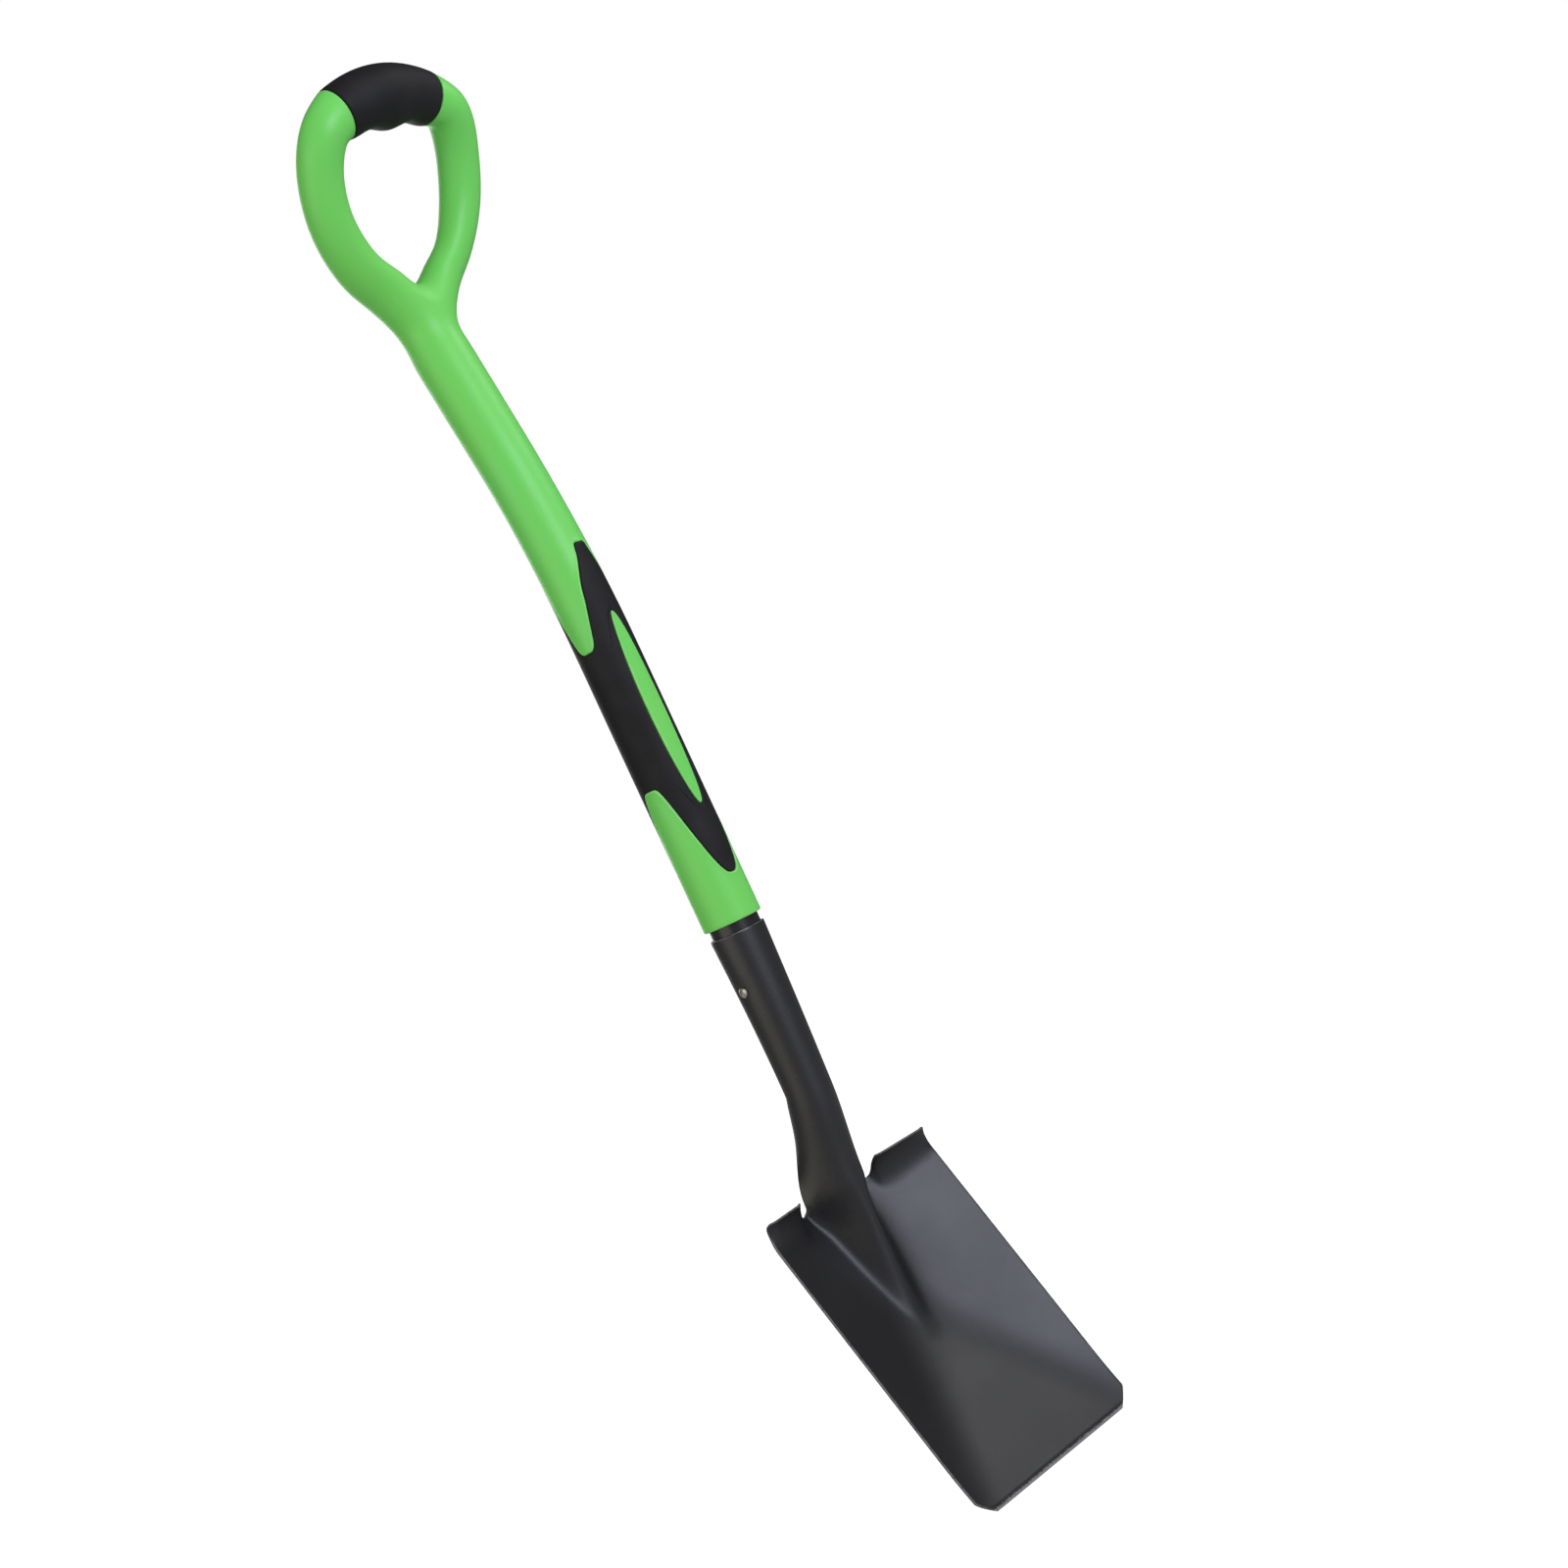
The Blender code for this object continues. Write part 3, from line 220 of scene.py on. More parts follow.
RIDGE_TIP_AT = 81.0
RIDGE_HEIGHT = 38.3
RIDGE_FALL_POWER = 1.12
RIDGE_TIP_BLEND = 5.0
RIDGE_SIDE_POWER = 2.4
RIDGE_WIDTHS = ((0.0, 26.8), (0.4, 24.0), (0.55, 22.0), (1.0, 14.0))
RIDGE_FINENESS = ((0.0, 1.65), (0.25, 4.0), (1.0, 5.0))
RIDGE_FOOT_SHARE = 0.42
RIDGE_FOOT_FULL_AT = 0.3
RIDGE_FOOT_WIDTH = 40.0
TREAD_CURL_RADIUS = 26.0
TREAD_HEIGHT = 23.2
TREAD_FALL = 4.6
TREAD_CORNER_CUT = 2.2
TREAD_CORNER_POWER = 6
TREAD_INNER_CUT = 2.0
FOLD_BELOW_TOP = 5.0
FOLD_INNER_ROUNDING = 8.0
FOLD_OUTER_ROUNDING = 9.0
NOTCH_INNER_X = 24.4
NOTCH_OUTER_X = 33.0
NOTCH_TOP = 15.0
NOTCH_BOTTOM = 12.8
NOTCH_ROUNDING = 3.2
CURL_STARTS_INSIDE_NOTCH = 3.0
CURL_FULL_OUTSIDE_NOTCH = 2.0
STRIP_COLUMNS = 40
WING_COLUMNS = 24
SOCKET_ROWS = 60
FLARE_ROWS = 18
FLARE_LEAD = 2.0
FLARE_EDGE_SPREAD = 3.4
FLARE_EDGE_WAY = Vector((0.74, 0.67, 0.0))
# Brings share * (1 - share) ** 4 to 1 where it is highest
SWELL_TO_ONE = 12.2
TREAD_ROWS = 12
NOTCH_ROWS = 8
RIDGE_ROWS = 34
FOOT_ROWS = 34
CORNER_ROWS = 10
SURFACE_SAMPLES = 160
GROUND_WIDTH = 3.4
GROUND_DEPTH = 0.95
RIM_ROUNDING = 0.34
# Where grinding has thinned the sheet, the rounding shrinks with it
RIM_ROUNDING_HELD = 1.2
# How far the rim's points lie inwards and back, as shares of its rounding and of the sheet
RIM_PROFILE = ((1.0, 0.0), (0.3, 0.07), (0.0, 0.24), (0.0, 0.76), (0.3, 0.93), (1.0, 1.0))
GROUND_ROWS = 4
GROUND_ON_BACK = 0.5

# Rivet
RIVET_DROP = 41.4
RIVET_SHANK_RADIUS = 2.5
RIVET_HEAD_RADIUS = 3.4
RIVET_HEAD_HEIGHT = 1.35
RIVET_HEAD_FOOT = 0.12
RIVET_HEAD_FOOT_DRAFT = 0.25
RIVET_HEAD_DEGREES = (12.0, 26.0, 42.0, 58.0, 74.0, 84.0)
RIVET_HEAD_GAP = 0.1
RIVET_DIMPLE_DEPTH = 0.55
RIVET_DIMPLE_RADIUS = 3.4
RIVET_DIMPLE_SPREAD = 1.6
RIVET_SIDES = 40


# Curves and the spine

def spine_runs():
    """Each run of the spine as its length and its curvature, positive where it leans back."""
    neck_turn = math.radians(NECK_BEND_ANGLE)
    return (
        (STRAIGHT_LENGTH, 0.0),
        (SHAFT_BEND_LENGTH, 1.0 / SHAFT_BEND_RADIUS),
        (UPPER_STRAIGHT_LENGTH, 0.0),
        (NECK_BEND_RADIUS * neck_turn, -1.0 / NECK_BEND_RADIUS),
        (HANDLE_CURVE_LENGTH, -1.0 / HANDLE_CURVE_RADIUS),
    )


def spine(distance):
    """The spine's point and lean at a distance along it; negative distances run down the shaft."""
    y = 0.0
    z = 0.0
    lean = 0.0
    left = distance
    for length, curvature in spine_runs():
        step = min(left, length)
        if curvature == 0.0:
            y += step * math.sin(lean)
            z += step * math.cos(lean)
        else:
            turned = lean + step * curvature
            y += (math.cos(lean) - math.cos(turned)) / curvature
            z += (math.sin(turned) - math.sin(lean)) / curvature
            lean = turned
        left -= step
        if left <= 0.0:
            break
    return Vector((0.0, y, z)), lean


def spine_front(lean):
    return Vector((0.0, -math.cos(lean), math.sin(lean)))


def shaft_point(station, turn, radius):
    """A point round the shaft; turn is counted in degrees from the front towards +X."""
    centre, lean = spine(station)
    angle = math.radians(turn)
    around = math.sin(angle) * Vector((1.0, 0.0, 0.0)) + math.cos(angle) * spine_front(lean)
    return centre + radius * around


def run_between(low, high, leaving, arriving, share):
    """A place on the smooth run from low to high that has the given slopes at its ends."""
    return (
        low * (1 + 2 * share) * (1 - share) ** 2
        + high * share ** 2 * (3 - 2 * share)
        + leaving * share * (1 - share) ** 2
        - arriving * share ** 2 * (1 - share)
    )


def smooth_curve(points, position):
    """A value read from a smooth curve through (position, value) points, level at both ends."""
    if position <= points[0][0]:
        return points[0][1]
    for index in range(len(points) - 1):
        start, low = points[index]
        end, high = points[index + 1]
        if position <= end:
            before = points[max(index - 1, 0)]
            after = points[min(index + 2, len(points) - 1)]
            slope_in = (high - before[1]) / (end - before[0]) if index > 0 else 0.0
            slope_out = (after[1] - low) / (after[0] - start) if index < len(points) - 2 else 0.0
            span = end - start
            return run_between(low, high, slope_in * span, slope_out * span, (position - start) / span)
    return points[-1][1]


def within_one(value):
    return min(max(value, 0.0), 1.0)


def smooth_step(low, high, value):
    share = within_one((value - low) / (high - low))
    return share * share * (3.0 - 2.0 * share)


def smooth_min(first, second, blend):
    nearness = max(blend - abs(first - second), 0.0) / blend
    return min(first, second) - nearness * nearness * blend / 4.0


def rounded_drop(distance, rounding):
    """How far a surface falls at a distance from its edge, where the edge has a quarter round."""
    inside = max(rounding - distance, 0.0)
    return rounding - math.sqrt(rounding ** 2 - inside ** 2)


def evenly(start, end, count):
    return [start + (end - start) * index / count for index in range(count + 1)]


def round_angles(count, shift=0.0):
    return [2.0 * math.pi * (index + shift) / count for index in range(count)]


def spread(start, end, step):
    """Evenly spaced places from start to end, at most a step apart."""
    return evenly(start, end, max(math.ceil(abs(end - start) / step), 1))


# The spade hangs from the point under the middle of its crossbar, which is the origin

CROSSBAR_CENTRE, CROSSBAR_LEAN = spine(CROSSBAR_AT)
UP_THE_SHEET = Vector((0.0, math.sin(CROSSBAR_LEAN), math.cos(CROSSBAR_LEAN)))
HANG_POINT = CROSSBAR_CENTRE - (CROSSBAR_GRIP_RADIUS + CROSSBAR_GRIP_CROWN) * UP_THE_SHEET


def in_place(point):
    return (point - HANG_POINT) * MM


# Mesh making

def new_object(name, data):
    made = bpy.data.objects.new(name, data)
    bpy.context.scene.collection.objects.link(made)
    return made


def add_row(bm, points):
    return [bm.verts.new(point) for point in points]


def add_marked(bm, point, **values):
    """A vertex with values of its own, such as how near it is to a rim."""
    vert = bm.verts.new(point)
    for name, value in values.items():
        vert[bm.verts.layers.float[name]] = value
    return vert


def join_rows(bm, first, second):
    for index in range(len(first) - 1):
        bm.faces.new((first[index], first[index + 1], second[index + 1], second[index]))


def join_rings(bm, first, second):
    join_rows(bm, first + first[:1], second + second[:1])


def join_all(bm, strips, join):
    for first, second in zip(strips, strips[1:]):
        join(bm, first, second)


def join_to_double(bm, coarse, fine):
    """Join a ring to one with twice its points, which starts at the same angle."""
    for index, here in enumerate(coarse):
        following = coarse[(index + 1) % len(coarse)]
        left, middle = fine[2 * index:2 * index + 2]
        right = fine[(2 * index + 2) % len(fine)]
        for corners in ((here, left, middle), (here, middle, following), (following, middle, right)):
            bm.faces.new(corners)


def to_mesh(name, bm):
    mesh = bpy.data.meshes.new(name)
    bm.to_mesh(mesh)
    bm.free()
    return mesh


def clean(bm, merge):
    """Doubles are merged and faces point outwards."""
    bmesh.ops.remove_doubles(bm, verts=bm.verts, dist=merge)
    bmesh.ops.recalc_face_normals(bm, faces=bm.faces)


def close_mesh(name, bm):
    """A closed surface in millimetres becomes a mesh in metres, in its place."""
    clean(bm, MERGE)
    for vert in bm.verts:
        vert.co = in_place(vert.co)
    return to_mesh(name, bm)


def plain_mesh(name, source):
    """The mesh that a source's modifiers make; the source goes."""
    graph = bpy.context.evaluated_depsgraph_get()
    made = bpy.data.meshes.new_from_object(source.evaluated_get(graph))
    made.name = name
    bpy.data.objects.remove(source, do_unlink=True)
    bm = bmesh.new()
    bm.from_mesh(made)
    clean(bm, MERGE * MM)
    bm.to_mesh(made)
    bm.free()
    return made


def show_as(mesh, material, node):
    """A finished mesh becomes a piece that stands for a node of the model."""
    mesh.shade_smooth()
    mesh.materials.clear()
    mesh.materials.append(material)
    piece = new_object(mesh.name, mesh)
    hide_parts(node)
    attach(piece, "root")


# Node trees

FLOAT = "NodeSocketFloat"
WHOLE = "NodeSocketInt"
VECTOR = "NodeSocketVector"
GEOMETRY = "NodeSocketGeometry"
MATERIAL = "NodeSocketMaterial"


def feed(tree, value, socket):
    """A socket takes a link or a plain value."""
    if isinstance(value, bpy.types.NodeSocket):
        tree.links.new(value, socket)
    else:
        socket.default_value = value


def add_node(tree, kind, inputs=None, **settings):
    node = tree.nodes.new(kind)
    for key, value in settings.items():
        setattr(node, key, value)
    for key, value in (inputs or {}).items():
        feed(tree, value, node.inputs[key])
    return node


def output_of(tree, kind, output, inputs=None, **settings):
    return add_node(tree, kind, inputs, **settings).outputs[output]


def do_math(tree, operation, *values):
    return output_of(tree, "ShaderNodeMath", 0, dict(enumerate(values)), operation=operation)


def times(tree, first, second):
    return do_math(tree, "MULTIPLY", first, second)


def less(tree, first, second):
    return do_math(tree, "SUBTRACT", first, second)


def do_vector(tree, operation, *values, output="Vector", **named):
    inputs = {**dict(enumerate(values)), **named}
    return output_of(tree, "ShaderNodeVectorMath", output, inputs, operation=operation)


def new_group(name, kind, inputs, outputs):
    """A node group with named sockets, the values it is given and the results it puts out."""
    tree = bpy.data.node_groups.new(name, kind)
    for label, socket_type, value in inputs:
        socket = tree.interface.new_socket(label, in_out="INPUT", socket_type=socket_type)
        if value is not None:
            socket.default_value = value
    for label, socket_type in outputs.items():
        tree.interface.new_socket(label, in_out="OUTPUT", socket_type=socket_type)
    return tree, tree.nodes.new("NodeGroupInput").outputs, tree.nodes.new("NodeGroupOutput").inputs


def run_tree(source, tree, inputs):
    """A modifier on the source runs the tree with its named inputs set."""
    modifier = source.modifiers.new(tree.name, "NODES")
    modifier.node_group = tree
    values = {label: value for label, _, value in inputs if value is not None}
    for item in tree.interface.items_tree:
        if item.item_type == "SOCKET" and item.in_out == "INPUT" and item.name in values:
            modifier[item.identifier] = values[item.name]


def end_steps(tree, geometry, finish, result):
    """Every tree ends in real meshes with their material."""
    real = output_of(tree, "GeometryNodeRealizeInstances", "Geometry", {"Geometry": geometry})
    inputs = {"Geometry": real, "Material": finish}
    feed(tree, output_of(tree, "GeometryNodeSetMaterial", "Geometry", inputs), result)


def swept(tree, curve, sides, radius, scale=1.0):
    """A round skin swept along a curve."""
    kind = "GeometryNodeCurvePrimitiveCircle"
    circle = output_of(tree, kind, "Curve", {"Resolution": sides, "Radius": radius})
    inputs = {"Curve": curve, "Profile Curve": circle, "Scale": scale}
    return output_of(tree, "GeometryNodeCurveToMesh", "Mesh", inputs)


def curve_of(tree, path):
    return output_of(tree, "GeometryNodeMeshToCurve", "Curve", {"Mesh": path})


def stored_value(tree, name):
    kind = "GeometryNodeInputNamedAttribute"
    return output_of(tree, kind, "Attribute", {"Name": name}, data_type="FLOAT")


def path_object(name, points, attribute, values):
    """A line of edges through points, in place, with a value at each point."""
    bm = bmesh.new()
    bm.verts.layers.float.new(attribute)
    verts = []
    for point, value in zip(points, values):
        verts.append(add_marked(bm, in_place(point), **{attribute: value * MM}))
    for ends in zip(verts, verts[1:]):
        bm.edges.new(ends)
    return new_object(name, to_mesh(name, bm))


def walled_mesh(name, path, wall):
    """The skin that a path's tree makes, with a wall of its own to the inside."""
    shell = new_object(name + "_shell", plain_mesh(name + "_skin", path))
    sheet = shell.modifiers.new("wall", "SOLIDIFY")
    sheet.thickness = wall * MM
    sheet.offset = -1.0
    return plain_mesh(name, shell)


# Green handle moulding

def sleeve_radius(distance):
    profile = (
        (0.0, SLEEVE_RADIUS),
        (STRAIGHT_LENGTH, SLEEVE_RADIUS),
        (SLEEVE_WAIST_AT, SLEEVE_RADIUS - SLEEVE_WAIST_NARROWING),
        (NECK_START, SLEEVE_TOP_RADIUS),
    )
    return smooth_curve(profile, distance)


def handle_point(across, along):
    return spine(along)[0] + Vector((across, 0.0, 0.0))


def arm_keys():
    """Centre, forward bow, half width, half depth and skew of the right arm, from the crotch up."""
    width = ARM_WIDTH / 2.0
    depth = ARM_DEPTH / 2.0
    rise = LOOP_WIDEST_AT - CROTCH_AT
    drop = JUNCTION_AT - LOOP_WIDEST_AT
    keys = []
    for sideways, climb, skew, widen, deepen in ARM_BELOW_WIDEST:
        place = (LOOP_HALF_WIDTH * sideways, CROTCH_AT + rise * climb, 0.0)
        keys.append((*place, width + widen, depth + deepen, ARM_SKEW + ARM_SKEW_BELOW * skew))
    for sideways, climb, bow, skew, widen, deepen in ARM_ABOVE_WIDEST:
        place = (LOOP_HALF_WIDTH * sideways, LOOP_WIDEST_AT + drop * climb, ARM_BOW * bow)
        keys.append((*place, width + widen, depth + deepen, ARM_SKEW * skew))
    keys.append((JUNCTION_HALF_SPACING, JUNCTION_AT, 0.0, JUNCTION_RADIUS, JUNCTION_RADIUS, 0.0))
    return keys


def crossbar_along(across):
    """The crossbar arches: it stands highest at the middle."""
    radius = (JUNCTION_HALF_SPACING ** 2 + CROSSBAR_ARCH ** 2) / (2.0 * CROSSBAR_ARCH)
    return CROSSBAR_AT - radius + math.sqrt(radius ** 2 - across ** 2)


def sheet_frame(before, here, after):
    """Centre, outward direction and front direction of a ring on the D's curved sheet."""
    centre = handle_point(*here)
    _, lean = spine(here[1])
    front = spine_front(lean)
    travel = (handle_point(*after) - handle_point(*before)).normalized()
    outward = travel.cross(front).normalized()
    return centre, outward, front


def crossbar_frame(across):
    nearby = (across + CROSSBAR_SLOPE_STEP, across, across - CROSSBAR_SLOPE_STEP)
    return sheet_frame(*[(x, crossbar_along(x)) for x in nearby])


def sheet_ring(ring_frame, half_width, half_depth, sides, skew=0.0):
    """An oval ring; skew makes it longer from its inner front to its outer back."""
    centre, outward, front = ring_frame
    ring = []
    for angle in round_angles(sides):
        sideways = half_width * math.sin(angle) - skew * math.cos(angle)
        forward = half_depth * math.cos(angle) - skew * math.sin(angle)
        ring.append(centre + sideways * outward + forward * front)
    return ring


def pull_through(keys):
    """Control places whose subdivided curve passes through the keys."""
    pulled = [keys[0]]
    for before, here, after in zip(keys, keys[1:], keys[2:]):
        pulled.append(tuple(h - (b - 2.0 * h + a) / 6.0 for b, h, a in zip(before, here, after)))
    pulled.append(keys[-1])
    return pulled


def crossbar_places(count):
    """Places along the crossbar from the right junction to the left one."""
    places = []
    for index in range(count):
        across = JUNCTION_HALF_SPACING * (1.0 - 2.0 * index / (count - 1))
        places.append((across, crossbar_along(across)))
    return places


def handle_cage():
    """The D as a coarse cage of quads, open at the neck, with creased shoulders at the crossbar."""
    bm = bmesh.new()
    crease = bm.edges.layers.float.new("crease_edge")
    neck_rings = []
    for above, widen, deepen in NECK_SHAPE:
        centre, lean = spine(NECK_START + above)
        neck_frame = (centre, Vector((1.0, 0.0, 0.0)), spine_front(lean))
        radius = SLEEVE_TOP_RADIUS / CIRCLE_PULL
        ring = sheet_ring(neck_frame, radius * widen, radius * deepen, RING_POINTS)
        neck_rings.append(add_row(bm, ring))
    join_all(bm, neck_rings, join_rings)
    branch = neck_rings[-1]

    centre, lean = spine(CROTCH_AT)
    forward = CROTCH_HALF_DEPTH * spine_front(lean)
    below = spine(CROTCH_AT - CROTCH_BACK_DROP)[0]
    crotch = add_row(bm, (centre + forward, centre, below - forward))

    keys = arm_keys()
    travel = pull_through([(0.0, CROTCH_AT - ARM_SETS_OFF_BELOW_CROTCH)] + [key[:2] for key in keys])
    right_arm = []
    for index, key in enumerate(keys[:-1]):
        centre, outward, front = sheet_frame(travel[index], travel[index + 1], travel[index + 2])
        half_width, half_depth, skew = [size / CIRCLE_PULL for size in key[3:]]
        arm_frame = (centre + key[2] * front, outward, front)
        right_arm.append(sheet_ring(arm_frame, half_width, half_depth, RING_POINTS, skew))
    shoulder = JUNCTION_RADIUS / CIRCLE_PULL
    right_arm.append(sheet_ring(crossbar_frame(JUNCTION_HALF_SPACING), shoulder, shoulder, RING_POINTS))
    bar = []
    core = CROSSBAR_CORE_RADIUS / CIRCLE_PULL
    places = crossbar_places(CROSSBAR_RINGS)
    for place, pulled in zip(places, pull_through(places)):
        _, outward, front = crossbar_frame(place[0])
        bar_frame = (handle_point(*pulled), outward, front)
        bar.append(add_row(bm, sheet_ring(bar_frame, core, core, RING_POINTS)))

    first_right = branch[:5] + crotch[::-1]
    first_left = branch[:1] + branch[:3:-1] + crotch[::-1]
    mirror = Vector((-1.0, 1.0, 1.0))
    left_arm = [[point * mirror for point in section] for section in right_arm]
    for start, arm, bar_end in ((first_right, right_arm, bar[0]), (first_left, left_arm, bar[-1])):
        rings = [start] + [add_row(bm, section) for section in arm] + [bar_end]
        join_all(bm, rings, join_rings)
        for loop in rings[-2:]:
            for ends in zip(loop, loop[1:] + loop[:1]):
                bm.edges.get(ends)[crease] = 1.0
    join_all(bm, bar, join_rings)
    bmesh.ops.recalc_face_normals(bm, faces=bm.faces)
    return to_mesh("handle_cage", bm)


def rounded_handle():
    """The cage made smooth, with its hard shoulder edges rounded."""
    cage = new_object("handle_cage", handle_cage())
    smoothing = cage.modifiers.new("round", "SUBSURF")
    smoothing.levels = HANDLE_LEVELS
    smoothing.render_levels = HANDLE_LEVELS
    smoothing.use_limit_surface = True
    graph = bpy.context.evaluated_depsgraph_get()
    bm = bmesh.new()
    bm.from_mesh(cage.evaluated_get(graph).data)
    bpy.data.objects.remove(cage, do_unlink=True)
    rim = bm.verts.layers.float.new("rim")
    # The hollow value marks the recess floor, which is painted in shade.
    bm.verts.layers.float.new("hollow")
    shoulders = []
    # The shoulder edges get a rim value, which paints a highlight on them.
    for edge in bm.edges:
        if not edge.is_boundary and edge.calc_face_angle() > math.radians(SHOULDER_LEAST_ANGLE):
            across = abs((edge.verts[0].co.x + edge.verts[1].co.x) / 2.0)
            if across > JUNCTION_HALF_SPACING - SHOULDER_REACH:
                shoulders.append(edge)
                for vert in edge.verts:
                    vert[rim] = SHOULDER_PAINTED_HIGHLIGHT
    size = {"offset": SHOULDER_ROUNDING, "segments": SHOULDER_SEGMENTS, "profile": 0.5}
    bmesh.ops.bevel(bm, geom=shoulders, affect="EDGES", **size)
    return bm


def open_loop(bm, sides):
    """The open edge of the handle, as vertices counted from the front towards +X."""
    centre, lean = spine(NECK_START)
    front = spine_front(lean)
    placed = {}
    for edge in bm.edges:
        if edge.is_boundary:
            for vert in edge.verts:
                offset = vert.co - centre
                angle = math.atan2(offset.x, offset.dot(front)) % (2.0 * math.pi)
                placed[round(angle / (2.0 * math.pi) * sides) % sides] = vert
    return [placed[index] for index in range(sides)]


def band_edge(angle, shape, point, bay):
    places = [(degrees, point + (bay - point) * share) for degrees, share in shape]
    return smooth_curve([(0.0, point)] + places + [(90.0, bay)], angle)


def from_front_or_back(turn):
    """Degrees from the nearer of front and back."""
    folded = turn % 180.0
    return min(folded, 180.0 - folded)


def band_edges(turn, moved):
    """The band's lower and upper edge at a turn, moved outwards, or inwards if moved is negative."""
    sign = math.copysign(1.0, moved)
    lows = []
    highs = []
    for index in range(-BAND_EDGE_SAMPLES, BAND_EDGE_SAMPLES + 1):
        sideways = moved * index / BAND_EDGE_SAMPLES
        reach = sign * math.sqrt(moved ** 2 - sideways ** 2)
        beside = turn + math.degrees(sideways / SLEEVE_RADIUS)
        folded = from_front_or_back(beside - LOWER_EDGE_TURN)
        lows.append(band_edge(folded, LOWER_POINT_SHAPE, BAND_BOTTOM, BAND_BAY_BOTTOM) - reach)
        folded = from_front_or_back(beside - UPPER_EDGE_TURN)
        highs.append(band_edge(folded, UPPER_POINT_SHAPE, BAND_TOP, BAND_BAY_TOP) + reach)
    if sign > 0.0:
        return min(lows), max(highs)
    return max(lows), min(highs)


def lip_height(distance):
    """The green's lip beside the soft grip: a low bead with a rounded edge."""
    bead = 0.0
    if distance < LIP_BEAD_WIDTH:
        bead = LIP_BEAD * math.sin(math.pi * distance / LIP_BEAD_WIDTH) ** 2
    return bead - rounded_drop(distance, LIP_ROUNDING)


# A rim value, highest at a lip's edge: on the green it paints a highlight along the lip, on the soft grip it
# marks edge wear.
def lip_rim(distance):
    return max(1.0 - distance / LIP_BEAD_WIDTH, 0.0)


def sleeve_rows(turn):
    """Station, radius, rim and hollow of each row down one column of the sleeve's outside; the rim value
    paints a highlight on the lips and the lower end, the hollow value paints shade on the recess floor.
    """
    lows, highs = zip(*[band_edges(turn, GROOVE + step) for step in EDGE_STEPS])
    low_lip, high_lip = (list(zip(stations, EDGE_STEPS)) for stations in (lows, highs))
    rows = []
    for station in evenly(SLEEVE_TOP, highs[-1], UPPER_SLEEVE_ROWS)[:-1]:
        rows.append((station, sleeve_radius(station), 0.0, 0.0))
    for station, step in reversed(high_lip):
        rows.append((station, sleeve_radius(station) + lip_height(step), lip_rim(step), 0.0))
    # The recess floor under the soft grip, seen through the groove beside it, is painted in shade through
    # its hollow value.
    for station in evenly(highs[0], lows[0], RECESS_FLOOR_ROWS):
        rows.append((station, sleeve_radius(station) - BAND_RECESS, 0.0, 1.0))
    for station, step in low_lip:
        rows.append((station, sleeve_radius(station) + lip_height(step), lip_rim(step), 0.0))
    for station in evenly(lows[-1], SLEEVE_END_AREA, LOWER_SLEEVE_ROWS)[1:]:
        rows.append((station, sleeve_radius(station), 0.0, 0.0))
    # The rounded lower end of the sleeve gets a painted highlight through its rim value.
    for share in SLEEVE_END_STEPS:
        station = SLEEVE_END_ROUNDING * share
        drop = rounded_drop(station, SLEEVE_END_ROUNDING)
        rows.append((station, SLEEVE_RADIUS - drop, 1.0 - share * 0.5, 0.0))
    return rows


def make_sleeve(bm, neck_loop):
    turns = evenly(0.0, 360.0, SLEEVE_COLUMNS)[:-1]
    columns = []
    for turn in turns:
        column = []
        for station, radius, rim, hollow in sleeve_rows(turn):
            column.append(add_marked(bm, shaft_point(station, turn, radius), rim=rim, hollow=hollow))
        columns.append(column)
    join_all(bm, columns + columns[:1], join_rows)
    join_to_double(bm, neck_loop, [column[0] for column in columns])
    rings = [[column[-1] for column in columns]]
    bore = TUBE_RADIUS + CLEARANCE
    for station in spread(0.0, BORE_TOP, BORE_STEP):
        rings.append(add_row(bm, [shaft_point(station, turn, bore) for turn in turns]))
    join_all(bm, rings, join_rings)
    bm.faces.new(rings[-1])


def leaf_turn(across):
    return math.degrees(math.asin(across / SLEEVE_RADIUS))


def make_leaf_island(bm, facing):
    """A raised green leaf that fills the soft grip's window at the front or at the back."""
    half_width = LEAF_HALF_WIDTH - GROOVE
    half_length = LEAF_HALF_LENGTH - GROOVE
    insets = list(EDGE_STEPS) + evenly(EDGE_STEPS[-1], half_width, 3)[1:]
    heights = [-BAND_RECESS - CLEARANCE] + [lip_height(inset) for inset in insets]
    rings = []
    for inset, height in zip([0.0] + insets, heights):
        ring = []
        for angle in round_angles(LEAF_SIDES, 0.5):
            across = (half_width - inset) * math.cos(angle)
            station = LEAF_MIDDLE + (half_length - inset) * math.sin(angle)
            radius = sleeve_radius(station) + height
            turn = facing + LEAF_TURN + leaf_turn(across)
            # The leaf's lip gets the painted highlight through its rim value.
            ring.append(add_marked(bm, shaft_point(station, turn, radius), rim=lip_rim(inset)))
        rings.append(ring)
    join_all(bm, rings, join_rings)
    bm.faces.new(rings[0])


def make_green_handle(material):
    bm = rounded_handle()
    make_sleeve(bm, open_loop(bm, RING_POINTS * 2 ** HANDLE_LEVELS))
    for facing in (0.0, 180.0):
        make_leaf_island(bm, facing)
    show_as(close_mesh("green_handle", bm), material, "handle_moulding")


# Soft shaft grip

def leaf_half_turn(station):
    """Half of the leaf window's width in degrees at a station."""
    share = 1.0 - ((station - LEAF_MIDDLE) / LEAF_HALF_LENGTH) ** 2
    return leaf_turn(LEAF_HALF_WIDTH * math.sqrt(max(share, 0.0)))


def from_leaf(station, turn):
    """Distance of a place on the shaft from the edge of the leaf window."""
    across = SLEEVE_RADIUS * math.sin(math.radians(turn))
    along = station - LEAF_MIDDLE
    size = math.hypot(across / LEAF_HALF_WIDTH, along / LEAF_HALF_LENGTH)
    slope = math.hypot(across / LEAF_HALF_WIDTH ** 2, along / LEAF_HALF_LENGTH ** 2)
    return max((size - 1.0) * size / slope, 0.0)


